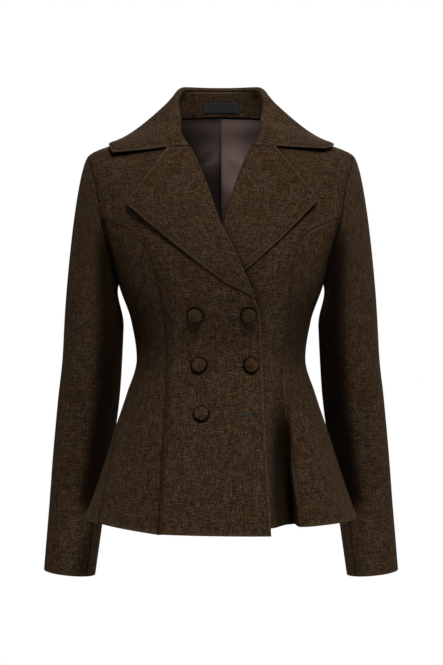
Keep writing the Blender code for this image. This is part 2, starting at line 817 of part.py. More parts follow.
def build_lining(satin):
    """The back lining, pleated at the centre: the left half laps over the right."""
    lift = -CLOTH - LAYER_GAP
    right, left = back_grid(RIGHT)[LINING_HEM_ROW:], back_grid(LEFT)[LINING_HEM_ROW:]
    for row, lapped in zip(right, left):
        angle, height = lapped[PLEAT_UNDERLAP_COLUMN]
        row.insert(0, (angle - FULL_TURN, height))
    right_lifts = [lift] * (BACK_COLUMNS + 2)
    left_lifts = [lift - ease * (LINING_CLOTH + LAYER_GAP) for ease in PLEAT_EASE]
    wall("lining_back_right", *back_wall(RIGHT, right, right_lifts, LINING_CLOTH), satin)
    wall("lining_back_left", *back_wall(LEFT, left, left_lifts, LINING_CLOTH), satin)


def button_mesh():
    """A covered button turned about +Z, flat on its back and domed on its face."""
    made = bmesh.new()
    rings = []
    for point in BUTTON_PROFILE:
        ring = []
        for k in range(BUTTON_SIDES):
            turn = 2 * math.pi * k / BUTTON_SIDES
            x, y = point.radius * math.cos(turn), point.radius * math.sin(turn)
            ring.append(made.verts.new(Vector((x, y, point.height)) * MM))
        rings.append(ring)
    crown = made.verts.new((0, 0, BUTTON_CROWN * MM))
    made.faces.new(rings[0])
    for low, high in zip(rings, rings[1:]):
        for k in range(BUTTON_SIDES):
            after = (k + 1) % BUTTON_SIDES
            made.faces.new((low[k], low[after], high[after], high[k]))
    for k in range(BUTTON_SIDES):
        made.faces.new((rings[-1][k], rings[-1][(k + 1) % BUTTON_SIDES], crown))
    return made


def build_buttons(tweed):
    """Covered buttons in two columns on the right front, with the lowest edge hole left open."""
    for number, row in enumerate(BUTTON_ROWS, 1):
        for column in ("outer", "edge"):
            x = getattr(row, column)
            if x is None:
                continue
            button = finish_object(f"button_{column}_{number}", button_mesh(), tweed)
            angle = front_angle(x, row.height)
            lift = lap_lift(RIGHT, angle, row.height) + row.shank
            button.location = form_point(angle, row.height, lift) * MM
            button.rotation_mode = "QUATERNION"
            button.rotation_quaternion = skin_normal(angle, row.height).to_track_quat("Z", "Y")


def main():
    for old in list(bpy.data.objects):
        bpy.data.objects.remove(old)
    tweed = cloth_material("tweed", *TWEED)
    satin = cloth_material("satin_lining", *SATIN)
    black = cloth_material("woven_label", *LABEL_BLACK)
    build_body(tweed)
    build_sleeves(tweed)
    build_collar(tweed, black)
    build_lining(satin)
    build_buttons(tweed)


main()
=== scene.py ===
"""Looks of a fitted double-breasted tweed blazer, filled out as it is worn.

Each cloth piece is a thin shell drawn on the same garment form as its solid, with rounded
edges, seams, creases and topstitching. Shape sizes are in millimetres and become metres where
a mesh is made. The front faces -Y and the wearer's left is +X.
"""

import logging
import math
from dataclasses import dataclass, field
from enum import Enum
from typing import NamedTuple, Optional, Sequence

import bpy
import numpy as np
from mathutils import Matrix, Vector


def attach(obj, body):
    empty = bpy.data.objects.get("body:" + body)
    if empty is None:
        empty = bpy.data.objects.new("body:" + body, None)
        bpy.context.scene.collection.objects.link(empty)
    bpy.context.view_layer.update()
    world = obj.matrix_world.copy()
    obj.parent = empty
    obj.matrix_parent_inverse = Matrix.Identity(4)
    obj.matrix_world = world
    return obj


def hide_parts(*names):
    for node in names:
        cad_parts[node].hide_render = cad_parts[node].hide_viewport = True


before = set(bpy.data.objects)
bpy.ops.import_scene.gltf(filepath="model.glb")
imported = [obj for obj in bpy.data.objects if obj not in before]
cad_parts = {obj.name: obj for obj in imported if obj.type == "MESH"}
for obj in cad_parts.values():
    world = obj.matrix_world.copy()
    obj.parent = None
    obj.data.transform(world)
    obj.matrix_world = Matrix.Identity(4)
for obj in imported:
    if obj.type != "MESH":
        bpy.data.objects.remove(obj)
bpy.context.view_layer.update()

LOG = logging.getLogger("blazer")
MM = 0.001
TINY = 1e-9
FAR = 1e3
QUARTER_TURN = 90
FULL_TURN = 360
DOWN = np.array((0.0, 0.0, -1.0))

Array = np.ndarray
Material = bpy.types.Material
Mesh = bpy.types.Mesh
Object = bpy.types.Object
Socket = bpy.types.NodeSocket

# Cloth
CLOTH = 2.0
LEAF_CLOTH = 2.4
LINING_CLOTH = 1.0
LABEL_CLOTH = 0.8
SEAM_GAP = 0.3
LAYER_GAP = 0.5


class Side(Enum):
    """The wearer's side that a piece is on, with its sign along X."""

    RIGHT = -1
    LEFT = 1

    @property
    def word(self) -> str:
        """The side's word in a piece's name."""
        return self.name.lower()


def rows_of(kind: type, *rows: tuple) -> tuple:
    """A table of named tuples of one kind."""
    return tuple(kind(*row) for row in rows)


class Section(NamedTuple):
    """A level section of the garment form."""

    height: float
    half_width: float
    widest_y: float
    front_y: float
    back_y: float
    squareness: float


SECTIONS = rows_of(
    Section,
    (-600, 205, -30, -172, 122, 2.1),
    (-525, 179, -26, -152, 116, 2.1),
    (-455, 156, -18, -130, 110, 2.2),
    (-395, 136, -10, -112, 100, 2.3),
    (-345, 122, -4, -102, 92, 2.3),
    (-290, 130, 0, -112, 98, 2.3),
    (-250, 144, 0, -126, 106, 2.3),
    (-205, 160, 0, -134, 114, 2.2),
    (-130, 204, 0, -117, 119, 2.0),
    (-80, 212, 0, -94, 113, 2.0),
    (-50, 191, 2, -77, 107, 2.0),
    (-25, 128, 5, -64, 98, 2.0),
    (0, 77, 8, -50, 84, 2.0),
    (25, 68, 8, -42, 77, 2.0),
    (60, 60, 8, -36, 68, 2.0),
)


class Fold(NamedTuple):
    """A valley of the peplum that opens towards the hem, with a wall that may steepen there."""

    angle_top: float
    angle_hem: float
    start: float
    depth: float
    half_angle: float
    steep_half_angle: float
    power: int = 2


FOLDS = {
    Side.LEFT: (
        Fold(46, 40.6, -372, 12, 12, 4.5),
        Fold(44.6, 40.4, -362, 42, 7.8, 1.3, 3),
        Fold(120, 132, -400, 11, 11, 11),
    ),
    Side.RIGHT: (Fold(-120, -132, -400, 11, 11, 11),),
}
FOLD_STEEPENING = 1.4


class Crease(NamedTuple):
    """A soft trough, or a ridge where its depth is negative, between two places on a piece."""

    start_across: float
    start_height: float
    end_across: float
    end_height: float
    width: float
    depth: float


class EdgePoint(NamedTuple):
    """A point of a line on one front, by how far it reaches past the centre line."""

    height: float
    reach: float


FRONT_EDGE = rows_of(
    EdgePoint,
    (-600, 69),
    (-522, 65),
    (-450, 61),
    (-377, 58),
    (-320, 56),
    (-275, 51.5),
    (-262, 46.5),
    (-221, 28),
    (-186, 10.5),
    (-156, -5),
    (-117, -18),
    (-72, -34),
    (-43.5, -47),
    (-22, -56.8),
    (-6, -70.8),
)


class SeamPoint(NamedTuple):
    """A point of a seam line that falls differently on the two sides."""

    height: float
    right: float
    left: float


FRONT_SEAM = rows_of(
    SeamPoint,
    (-600, 87, 110),
    (-522, 83, 101),
    (-450, 80, 92),
    (-377, 77, 87),
    (-333, 77, 91),
    (-290, 80, 96),
    (-225, 92, 101),
    (-191, 104, 107),
    (-165, 124, 124),
)

# Hem, armhole and seams
HEM = -571
HEM_DROP = {Side.RIGHT: 19.5, Side.LEFT: 8.0}
ARMHOLE_TOP = -50
ARMHOLE_FOOT = -238
ARMHOLE_HALF_ANGLE = 20
ARMHOLE_MIDDLE = (ARMHOLE_TOP + ARMHOLE_FOOT) / 2
ARMHOLE_HALF_HEIGHT = (ARMHOLE_TOP - ARMHOLE_FOOT) / 2
SIDE_SEAM = 90
BACK_CENTRE = 180
NECK_TOP = -SEAM_GAP
NECK_EDGE_HEIGHT = -6.3
GORGE_HEIGHT = -43.5

SIDE_SEAM_LINE = rows_of(
    SeamPoint,
    (-600, 66, 84),
    (-450, 78, 88),
    (-345, 90, 90),
    (ARMHOLE_FOOT, 90, 90),
)


class BackSeamPoint(NamedTuple):
    """A point of the back princess seam, by its angle round the form."""

    height: float
    angle: float


BACK_SEAM = rows_of(
    BackSeamPoint,
    (-600, 146),
    (-450, 144),
    (-345, 142),
    (-238, 132),
    (ARMHOLE_MIDDLE, SIDE_SEAM + ARMHOLE_HALF_ANGLE),
)


class LapPoint(NamedTuple):
    """How far the wearer's right front stands off the form where it lies over the left."""

    height: float
    lift: float


LAP = rows_of(
    LapPoint,
    (-600, 3.2),
    (-335, 3.2),
    (-268, 10.2),
    (-140, 10.2),
    (-52, 0),
    (60, 0),
)
LAP_MARGIN = 4

# Lapel leaf
ROLL_RADIUS = 3.3
LAPEL_CORNER = {Side.RIGHT: EdgePoint(-128, 129), Side.LEFT: EdgePoint(-122, 133)}
LAPEL_NOTCH = {Side.RIGHT: EdgePoint(-47.6, 73), Side.LEFT: EdgePoint(-46.2, 74)}
LAPEL_FOOT = {Side.RIGHT: EdgePoint(-257, -38), Side.LEFT: EdgePoint(-257, -12)}
LAPEL_BELLY = 8.0
LAPEL_FOOT_LIFT = 0.3
LAPEL_CORNER_LIFT = 6.5


class Station(NamedTuple):
    """A cross-section of the collar: its neck seam, its fold and its outer edge."""

    neck_angle: float
    neck_height: float
    fold_angle: float
    fold_height: float
    edge_angle: float
    edge_height: float
    edge_lift: float


STATIONS = rows_of(
    Station,
    (33.9, -43.2, 33.9, -43.2, 70.8, -55.8, 8),
    (43, -22, 51, -14, 75.8, -45.5, 6),
    (62, -6, 75, 18, 85, -37, 3.6),
    (90, 0, 92, 37, 94, -34.5, 3),
    (120, 6, 120, 49.5, 120, -35, 3),
    (150, 10, 150, 51.5, 150, -36, 3),
    (180, 12, 180, 52, 180, -36, 3),
)
BACK_STATIONS = STATIONS[3:]
LEFT_TIP_RISE = 6


class SleeveSection(NamedTuple):
    """A section of the arm of the wearer's left sleeve."""

    height: float
    centre_x: float
    centre_y: float
    half_width: float
    half_depth: float
    tilt: float


SLEEVE_SECTIONS = rows_of(
    SleeveSection,
    (-300, 185.5, 17, 43.5, 57, 0),
    (-345, 188.5, 26, 44, 55, 0),
    (-406, 195, 41, 45.5, 52, 0),
    (-478, 204, 58, 44.5, 50, 0),
    (-577, 215.5, 73, 41, 47, 1),
    (-663, 225, 70, 38, 46, 4),
)

# Creases of the body, across in degrees round the form, with unlike ones on the two sides
BODY_CREASES = rows_of(
    Crease,
    (-72, -322, -38, -338, 9, 0.8),
    (-80, -352, -47, -349, 10, -0.7),
    (74, -318, 44, -330, 8, 0.9),
    (82, -343, 52, -352, 11, 0.8),
    (-12, -408, -2, -545, 26, 1.0),
    (-33, -445, -38, -585, 22, -1.4),
    (-58, -420, -54, -590, 24, 2.2),
    (64, -430, 60, -585, 22, -2.6),
    (78, -440, 82, -575, 20, 2.4),
    (-86, -450, -80, -580, 22, 2.0),
    (-100, -318, -146, -336, 10, 1.3),
    (-98, -345, -158, -357, 12, -1.1),
    (-112, -300, -138, -306, 8, 0.9),
    (104, -312, 150, -328, 11, 1.4),
    (99, -338, 140, -352, 9, 1.0),
    (118, -362, 164, -368, 12, -1.0),
    (-128, -205, -142, -262, 13, 1.4),
    (126, -212, 138, -258, 12, 1.2),
    (-163, -430, -158, -565, 22, 2.6),
    (160, -440, 163, -570, 24, 2.2),
    (-170, -80, -150, -108, 16, -0.8),
    (168, -84, 152, -116, 14, -0.7),
    (-62, -196, -46, -250, 15, 0.7),
    (60, -188, 50, -246, 13, 0.8),
)
CREASE_FADE = 0.35
FORM_ARC = 2.4

# Sampling
NORMAL_TURN = 0.5
NORMAL_RISE = 1.0


class Curve:
    """A smooth curve through a table's points that never overshoots them."""

    def __init__(self, places: Sequence[float], values: Sequence[float]) -> None:
        """Keeps the points and works out the tangent at each.

        Args:
            places: Where the points are, rising.
            values: The value at each place.
        """
        self.places = np.asarray(places, float)
        self.values = np.asarray(values, float)
        slopes = np.diff(self.values) / np.diff(self.places)
        before, after = slopes[:-1], slopes[1:]
        rising = before * after > 0
        total = np.where(rising, before + after, 1.0)
        middle = np.where(rising, 2 * before * after / total, 0.0)
        self.tangents = np.concatenate((slopes[:1], middle, slopes[-1:]))

    def __call__(self, place: Array) -> Array:
        """The values at a place or at places, held at the end values outside the table."""
        last = len(self.places) - 2
        k = np.clip(np.searchsorted(self.places, place, side="right") - 1, 0, last)
        step = self.places[k + 1] - self.places[k]
        t = np.clip((place - self.places[k]) / step, 0.0, 1.0)
        u = 1 - t
        start = (1 + 2 * t) * u * u * self.values[k] + t * u * u * step * self.tangents[k]
        end = t * t * (3 - 2 * t) * self.values[k + 1] - t * t * u * step * self.tangents[k + 1]
        return start + end


def curves(table: Sequence[tuple], key: str) -> dict[str, Curve]:
    """One curve along the key column for each column of a table of named tuples, by name."""
    rows = sorted(table, key=lambda row: getattr(row, key))
    places = [getattr(row, key) for row in rows]
    return {name: Curve(places, [getattr(row, name) for row in rows]) for name in rows[0]._fields}


def wrapped(angle: Array) -> Array:
    """Degrees round the form, brought between its two back centres."""
    return (np.asarray(angle) + BACK_CENTRE) % FULL_TURN - BACK_CENTRE


def lerp(a: Array, b: Array, t: Array) -> Array:
    """The value a share t of the way from a to b."""
    return a + (b - a) * t


def smoothstep(t: Array) -> Array:
    """A share eased at both ends."""
    t = np.clip(t, 0.0, 1.0)
    return t * t * (3 - 2 * t)


def unit(vectors: Array) -> Array:
    """Vectors made one long."""
    return vectors / np.maximum(np.linalg.norm(vectors, axis=-1, keepdims=True), TINY)


def bezier(start: Array, first: Array, second: Array, end: Array, t: Array) -> Array:
    """A point a share t along a cubic with two handles."""
    u = 1 - t
    return start * u**3 + first * (3 * u * u * t) + second * (3 * u * t * t) + end * t**3


def crease_depth(across: Array, height: Array, creases: Sequence[Crease], scale: float) -> Array:
    """How far creases draw a surface in.

    Args:
        across: Places across the piece, in the creases' own unit.
        height: Places along it.
        creases: The troughs and ridges.
        scale: Millimetres to one unit across.

    Returns:
        The depth at each place, negative on a ridge.
    """
    total = np.zeros(np.broadcast(across, height).shape)
    for crease in creases:
        run = (crease.end_across - crease.start_across) * scale
        rise = crease.end_height - crease.start_height
        x = (across - crease.start_across) * scale
        y = height - crease.start_height
        t = np.clip((x * run + y * rise) / (run * run + rise * rise), 0.0, 1.0)
        off = np.hypot(x - t * run, y - t * rise) / crease.width
        fade = smoothstep(np.minimum(t, 1 - t) / CREASE_FADE)
        total = total + crease.depth * fade * np.exp(-off * off)
    return total


class GarmentForm:
    """The filled-out form that every panel, edge and seam is drawn on."""

    def __init__(self) -> None:
        """Makes the curves of the sections, edges and seams."""
        self.section = curves(SECTIONS, "height")
        self.edge = curves(FRONT_EDGE, "height")["reach"]
        self.front_seam = curves(FRONT_SEAM, "height")
        self.back_seam = curves(BACK_SEAM, "height")["angle"]
        self.side_line = curves(SIDE_SEAM_LINE, "height")
        self.lap = curves(LAP, "height")["lift"]
        self.back_neck = curves(BACK_STATIONS, "neck_angle")["neck_height"]

    def fold_depth(self, angle: Array, height: Array, folds: Sequence[Fold]) -> Array:
        """How far the large folds draw the form in at an angle and height."""
        depth = np.zeros(np.broadcast(angle, height).shape)
        for fold in folds:
            opening = (fold.start - height) / (fold.start - HEM)
            middle = lerp(fold.angle_top, fold.angle_hem, opening)
            steep = lerp(fold.half_angle, fold.steep_half_angle, smoothstep(opening * FOLD_STEEPENING))
            off = (angle - middle) / np.where(angle > middle, steep, fold.half_angle)
            depth = depth + fold.depth * smoothstep(opening) * np.exp(-np.abs(off) ** fold.power)
        return depth

    def skin(self, angle: Array, height: Array, folds: Sequence[Fold] = ()) -> Array:
        """The form's own points, without creases. Folds in front run straight back.

        Args:
            angle: Degrees round the form, 0 at the front and 90 at the wearer's left.
            height: Heights, which broadcast against the angles.
            folds: The large folds that the panel has.

        Returns:
            Points, with X, Y and Z in the last axis.
        """
        angle, height = np.broadcast_arrays(np.asarray(angle, float), np.asarray(height, float))
        turn = np.radians(angle)
        across, along = np.abs(np.sin(turn)), np.cos(turn)
        middle = self.section["widest_y"](height)
        front = middle - self.section["front_y"](height)
        back = self.section["back_y"](height) - middle
        power = self.section["squareness"](height)
        wide = (across / self.section["half_width"](height)) ** power
        deep = (np.abs(along) / np.where(along >= 0, front, back)) ** power
        drawn_in = self.fold_depth(angle, height, folds)
        in_front = np.abs(angle) < SIDE_SEAM
        radius = (wide + deep) ** (-1 / power) - np.where(in_front, 0.0, drawn_in)
        y = middle - radius * along + np.where(in_front, drawn_in, 0.0)
        return np.stack((radius * np.sin(turn), y, height), axis=-1)

    def normal(self, angle: Array, height: Array, folds: Sequence[Fold] = ()) -> Array:
        """The form's outward normals at angles and heights."""
        around = self.skin(angle + NORMAL_TURN, height, folds)
        around = around - self.skin(angle - NORMAL_TURN, height, folds)
        up = self.skin(angle, height + NORMAL_RISE, folds)
        up = up - self.skin(angle, height - NORMAL_RISE, folds)
        return unit(np.cross(around, up))

    def point(
        self, angle: Array, height: Array, lift: Array = 0.0, folds: Sequence[Fold] = ()
    ) -> Array:
        """Creased points lifted off the form, with the large folds that the panel has."""
        off = np.asarray(lift - crease_depth(wrapped(angle), height, BODY_CREASES, FORM_ARC))
        return self.skin(angle, height, folds) + self.normal(angle, height, folds) * off[..., None]

    def front_angle(self, x: Array, height: Array) -> Array:
        """The angle at which the front of the form is x from the centre line."""
        half_width = self.section["half_width"](height)
        depth = self.section["widest_y"](height) - self.section["front_y"](height)
        power = self.section["squareness"](height)
        share = np.minimum(np.abs(x) / half_width, 1.0) ** power
        return np.degrees(np.arctan2(x, depth * (1 - share) ** (1 / power)))

    def hem_height(self, angle: Array, side: Side) -> Array:
        """The hem, which dips towards the front."""
        return HEM - HEM_DROP[side] * np.maximum(np.cos(np.radians(angle)), 0.0) ** 2

    def edge_angle(self, side: Side, height: Array) -> Array:
        """Where a front's own edge, roll line or neck seam lies at a height."""
        return self.front_angle(-side.value * self.edge(height), height)

    def princess_angle(self, side: Side, height: Array) -> Array:
        """The front princess seam's angle, bending into the armhole at its widest."""
        last = FRONT_SEAM[-1].height
        low = self.front_angle(side.value * self.front_seam[side.word](height), height)
        foot = self.front_angle(side.value * FRONT_SEAM[-1].right, last)
        top = side.value * (SIDE_SEAM - ARMHOLE_HALF_ANGLE)
        rise = (height - last) / (ARMHOLE_MIDDLE - last)
        return np.where(height <= last, low, lerp(foot, top, rise))

    def side_angle(self, side: Side, height: Array) -> Array:
        """The side seam's angle."""
        return side.value * self.side_line[side.word](height)

    def back_angle(self, side: Side, height: Array) -> Array:
        """The back princess seam's angle."""
        return side.value * self.back_seam(height)

    def lap_lift(self, side: Side, angle: Array, height: Array) -> Array:
        """The right front's lift, fading out between the left front's edge and the seam."""
        if side is Side.LEFT:
            return np.zeros(np.broadcast(angle, height).shape)
        hidden_edge = self.edge_angle(Side.LEFT, height)
        seam = self.princess_angle(Side.RIGHT, np.minimum(height, ARMHOLE_MIDDLE))
        share = (angle - seam) / (hidden_edge - LAP_MARGIN - seam)
        return self.lap(height) * smoothstep(share)


class Edge(Enum):
    """How a cloth piece ends along one side of its grid."""

    FREE = "turned and rounded"
    SEAM = "sewn to its neighbour"


class GridSide(Enum):
    """One of the four sides of a piece's grid of points."""

    FIRST_COLUMN = "first column"
    LAST_COLUMN = "last column"
    FIRST_ROW = "first row"
    LAST_ROW = "last row"


@dataclass(frozen=True)
class EdgeProfile:
    """How edges, seams and stitch lines shape a shell, in millimetres."""

    round_radius: float = 1.3
    least_fullness: float = 0.14
    seam_drop: float = 0.45
    seam_reach: float = 1.5
    pucker_drop: float = 0.12
    pucker_reach: float = 9.0
    groove_depth: float = 0.35
    groove_width: float = 0.75
    # Reaches of the painted highlight along free edges, of the darker seam lines, and of the painted
    # shade, which is full at the fold reach's depth.
    wear_reach: float = 1.8
    shade_reach: float = 1.5
    fold_reach: float = 22.0
    plain_offsets: tuple = (0.0, 0.25, 0.7, 1.4, 2.6, 4.6)
    stitched_offsets: tuple = (0.0, 0.25, 0.7, 1.4, 2.6, 3.6, 4.3, 4.9, 5.5, 6.2, 7.4, 9.4)
    roll_offsets: tuple = (0.0, 1.0, 3.0)

    @property
    def seam_dip(self) -> float:
        """How far a seam draws the face in along its own line."""
        return self.seam_drop + self.pucker_drop


PROFILE = EdgeProfile()
STITCH_INSET = 4.9
GRID_STEP = 5.0
LEAF_STEP = 3.2
SQUEEZE_FROM = 3


@dataclass(frozen=True)
class StitchLine:
    """A line of topstitching along one side of a piece, between two shares of that side."""

    side: GridSide
    first: float = 0.0
    last: float = 1.0
    inset: float = STITCH_INSET


def running_length(points: Array, axis: int) -> Array:
    """Length along a grid's rows (axis 1) or columns (axis 0) up to each point."""
    steps = np.linalg.norm(np.diff(points, axis=axis), axis=-1)
    start = np.zeros_like(np.take(steps, [0], axis=axis))
    return np.concatenate((start, np.cumsum(steps, axis=axis)), axis=axis)


def spaced_shares(
    width: Array, near: Sequence[float], far: Sequence[float], step: float = GRID_STEP
) -> Array:
    """Shares across rows, close together by the two edges and even between them.

    Args:
        width: The length of each row.
        near: Distances from the start of the row to have points at.
        far: Distances from its end to have points at.
        step: The spacing in the middle of the widest row.

    Returns:
        An array with a row of shares for each width.
    """
    width = np.atleast_1d(width)[:, None]
    squeeze = np.minimum(1.0, width / (SQUEEZE_FROM * (near[-1] + far[-1])))
    start = np.asarray(near)[None] * squeeze / width
    end = 1 - np.asarray(far)[None, ::-1] * squeeze / width
    count = max(int(math.ceil(width.max() / step)), 2)
    middle = lerp(start[:, -1:], end[:, :1], np.linspace(0, 1, count + 1)[None, 1:-1])
    return np.concatenate((start, middle, end), axis=1)


def row_widths(points: Array) -> Array:
    """The length of each row of a grid."""
    return running_length(points, 1)[:, -1]


def half_turn(centre: Array, out: Array, across: Array, radius: Array, steps: int) -> Array:
    """Points of a leaf's half turn round its roll line.

    Args:
        centre: The roll's centre at each row.
        out: The way out of the form at each row.
        across: The way in which the leaf leaves the roll at each row.
        radius: The roll's radius, for all rows or for each.
        steps: How many points a row has.

    Returns:
        A grid of points, from under the leaf to where it starts.
    """
    turns = (math.pi * np.arange(steps) / steps)[None, :, None]
    swing = out[:, None] * np.cos(turns) + across[:, None] * np.sin(turns)
    return centre[:, None] - radius * swing


def grid_normals(points: Array) -> Array:
    """Normals of a grid of points from its rows and columns."""
    return unit(np.cross(np.gradient(points, axis=1), np.gradient(points, axis=0)))


def line_distance(points: Array, line: Array) -> Array:
    """How far points are from a line of straight stretches, given by its own points in order."""
    best = np.full(points.shape[:-1], np.inf)
    for a, b in zip(line, line[1:]):
        run = b - a
        t = np.clip(((points - a) @ run) / max(float(run @ run), TINY), 0.0, 1.0)
        best = np.minimum(best, np.linalg.norm(points - a - t[..., None] * run, axis=-1))
    return best


def place_in_scene(name: str, mesh: Mesh) -> Object:
    """Puts a finished mesh into the scene as a piece that rides on the one body."""
    made = bpy.data.objects.new(name, mesh)
    bpy.context.scene.collection.objects.link(made)
    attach(made, "root")
    return made


def lay_grain(mesh: Mesh, flat: Array) -> None:
    """Lays the cloth's grain on a mesh as a UV map, from a place in millimetres for each point."""
    corners = np.zeros(len(mesh.loops), np.int32)
    mesh.loops.foreach_get("vertex_index", corners)
    layer = mesh.uv_layers[0] if mesh.uv_layers else mesh.uv_layers.new()
    layer.name = "grain"
    layer.data.foreach_set("uv", (flat * MM)[corners].ravel())


def mark_points(mesh: Mesh, name: str, values: Array) -> None:
    """Gives a mesh's points a value that its material reads by name."""
    mesh.attributes.new(name, "FLOAT", "POINT").data.foreach_set("value", values)


def closed_mesh(name: str, points: list, faces: list) -> Mesh:
    """A closed mesh of points in metres, its faces turned outwards if they point in."""
    mesh = bpy.data.meshes.new(name)
    mesh.from_pydata(points, [], faces)
    mesh.calc_loop_triangles()
    corners = np.zeros(3 * len(mesh.loop_triangles), np.int32)
    mesh.loop_triangles.foreach_get("vertices", corners)
    triangles = np.array(points, float)[corners].reshape(-1, 3, 3)
    if np.linalg.det(triangles).sum() < 0:
        mesh.flip_normals()
    return mesh


def tube_faces(first: int, sides: int, rings: int) -> list[tuple]:
    """Faces of a closed tube, whose rings of points follow one another from the first point."""
    faces = []
    for low in range(first, first + (rings - 1) * sides, sides):
        for k in range(sides):
            after = (k + 1) % sides
            faces.append((low + k, low + after, low + sides + after, low + sides + k))
    last = first + (rings - 1) * sides
    faces.append(tuple(range(first + sides - 1, first - 1, -1)))
    faces.append(tuple(range(last, last + sides)))
    return faces


@dataclass
class Shell:
    """A cloth piece as a closed thin wall under a grid of face points.

    The face is the side that shows. Edges are rounded, seams are drawn in and stitch lines are
    pressed in, each by its distance from the sides of the grid.
    """

    name: str
    face: Array
    normals: Array
    thickness: float
    edges: dict[GridSide, Edge]
    stitch_lines: tuple[StitchLine, ...] = ()
    reach: dict[GridSide, Array] = field(default_factory=dict)
    # Painted shade: how deep each point lies in a fold or other shade; the fold_shade mark darkens the
    # colour by it.
    depth: Optional[Array] = None
    outer: Optional[Array] = None
    inner: Optional[Array] = None

    def __post_init__(self) -> None:
        """Measures the piece and shapes its outer and inner grids."""
        rows, columns = running_length(self.face, 1), running_length(self.face, 0)
        measured = {
            GridSide.FIRST_COLUMN: rows,
            GridSide.LAST_COLUMN: rows[:, -1:] - rows,
            GridSide.FIRST_ROW: columns,
            GridSide.LAST_ROW: columns[-1:] - columns,
        }
        self.reach = {**measured, **self.reach}
        self.free = self._nearest(Edge.FREE)
        self.seam = self._nearest(Edge.SEAM)
        half = self.thickness / 2
        inward = 1 - np.clip(self.free / PROFILE.round_radius, 0.0, 1.0)
        full = np.maximum(np.sqrt(1 - inward**2), PROFILE.least_fullness)
        top = half * (full - 1) - self._seam_depth() - self._groove()
        bottom = -half * (1 + full)
        self.outer = self.face + self.normals * top[..., None]
        self.inner = self.face + self.normals * bottom[..., None]

    def _nearest(self, kind: Edge) -> Array:
        """Each point's distance from the nearest side of a kind."""
        best = np.full(self.face.shape[:2], FAR)
        for side, edge in self.edges.items():
            if edge is kind:
                best = np.minimum(best, self.reach[side])
        return best

    def _seam_depth(self) -> Array:
        """How far the seams draw the face in, with a wide soft dip beside them."""
        close = np.clip(1 - self.seam / PROFILE.seam_reach, 0.0, 1.0) ** 2
        wide = smoothstep(1 - self.seam / PROFILE.pucker_reach)
        scale = min(1.0, self.thickness / CLOTH)
        return scale * (PROFILE.seam_drop * close + PROFILE.pucker_drop * wide)

    def side_share(self, side: GridSide) -> Array:
        """How far along a side each point is, from 0 to 1."""
        if side in (GridSide.FIRST_COLUMN, GridSide.LAST_COLUMN):
            length = running_length(self.face, 0)
            return length / length[-1:]
        length = running_length(self.face, 1)
        return length / length[:, -1:]

    def _groove(self) -> Array:
        """How deep the stitch lines are pressed in."""
        depth = np.zeros(self.face.shape[:2])
        for line in self.stitch_lines:
            share = self.side_share(line.side)
            sewn = (share >= line.first) & (share <= line.last)
            off = (self.reach[line.side] - line.inset) / PROFILE.groove_width
            depth = np.maximum(depth, sewn * PROFILE.groove_depth * np.exp(-off * off))
        return depth

    def stitch_path(self, line: StitchLine) -> tuple[Array, Array]:
        """The points of a stitch line on the face, and the normals there.

        Args:
            line: The line, which follows one side of the grid.

        Returns:
            Points and normals along the line.
        """
        grids = [self.reach[line.side], self.outer, self.normals, self.side_share(line.side)]
        if line.side in (GridSide.FIRST_ROW, GridSide.LAST_ROW):
            grids = [np.swapaxes(grid, 0, 1) for grid in grids]
        if line.side in (GridSide.LAST_COLUMN, GridSide.LAST_ROW):
            grids = [grid[:, ::-1] for grid in grids]
        distance, points, normals, share = grids
        path, normal = [], []
        for i in range(len(points)):
            beyond = distance[i] >= line.inset
            k = int(np.argmax(beyond))
            if k == 0 or not line.first <= share[i, k] <= line.last:
                continue
            t = (line.inset - distance[i, k - 1]) / (distance[i, k] - distance[i, k - 1])
            path.append(lerp(points[i, k - 1], points[i, k], t))
            normal.append(lerp(normals[i, k - 1], normals[i, k], t))
        return np.array(path), unit(np.array(normal))

    def cut_size(self) -> tuple[tuple[float, float], float]:
        """The flat cut's width and length, and its area, in metres."""
        rows, columns = running_length(self.face, 1), running_length(self.face, 0)
        a, b = self.face[:-1, :-1], self.face[1:, 1:]
        c, d = self.face[1:, :-1], self.face[:-1, 1:]
        area = float(np.linalg.norm(np.cross(b - a, c - d), axis=-1).sum() / 2) * MM * MM
        width, length = float(rows[:, -1].max()) * MM, float(columns[-1].max()) * MM
        return (width, max(length, area / width)), area

    def build(self) -> Object:
        """Makes the closed mesh with its UV map and edge attributes.

        Returns:
            The piece, at the origin with its place in its mesh.
        """
        rows, across = self.face.shape[0], self.face.shape[1]
        points = np.concatenate((self.outer.reshape(-1, 3), self.inner.reshape(-1, 3))) * MM
        index = np.arange(rows * across).reshape(rows, across)
        quads = np.stack((index[:-1, :-1], index[:-1, 1:], index[1:, 1:], index[1:, :-1]), axis=-1)
        quads = quads.reshape(-1, 4)
        under = quads[:, ::-1] + rows * across
        rim = np.concatenate((index[0], index[1:, -1], index[-1, -2::-1], index[-2:0:-1, 0]))
        after = np.roll(rim, -1)
        sides = np.stack((after, rim, rim + rows * across, after + rows * across), axis=-1)
        faces = np.concatenate((quads, under, sides)).tolist()
        mesh = closed_mesh(self.name, points.tolist(), faces)
        mesh.shade_smooth()
        lay_grain(mesh, self._grain())
        sunk = np.zeros(self.free.shape) if self.depth is None else self.depth
        # Painted light and shade on each point: free edges lighter as a painted highlight, where turned
        # edges catch the light; seam lines darker; folds and other marked places darker as painted
        # shade.
        marks = {
            "edge_highlight": np.exp(-self.free / PROFILE.wear_reach),
            "seam_shade": np.exp(-self.seam / PROFILE.shade_reach),
            "fold_shade": smoothstep(sunk / PROFILE.fold_reach),
        }
        for name, share in marks.items():
            mark_points(mesh, name, np.tile(share.ravel(), 2))
        return place_in_scene(self.name, mesh)

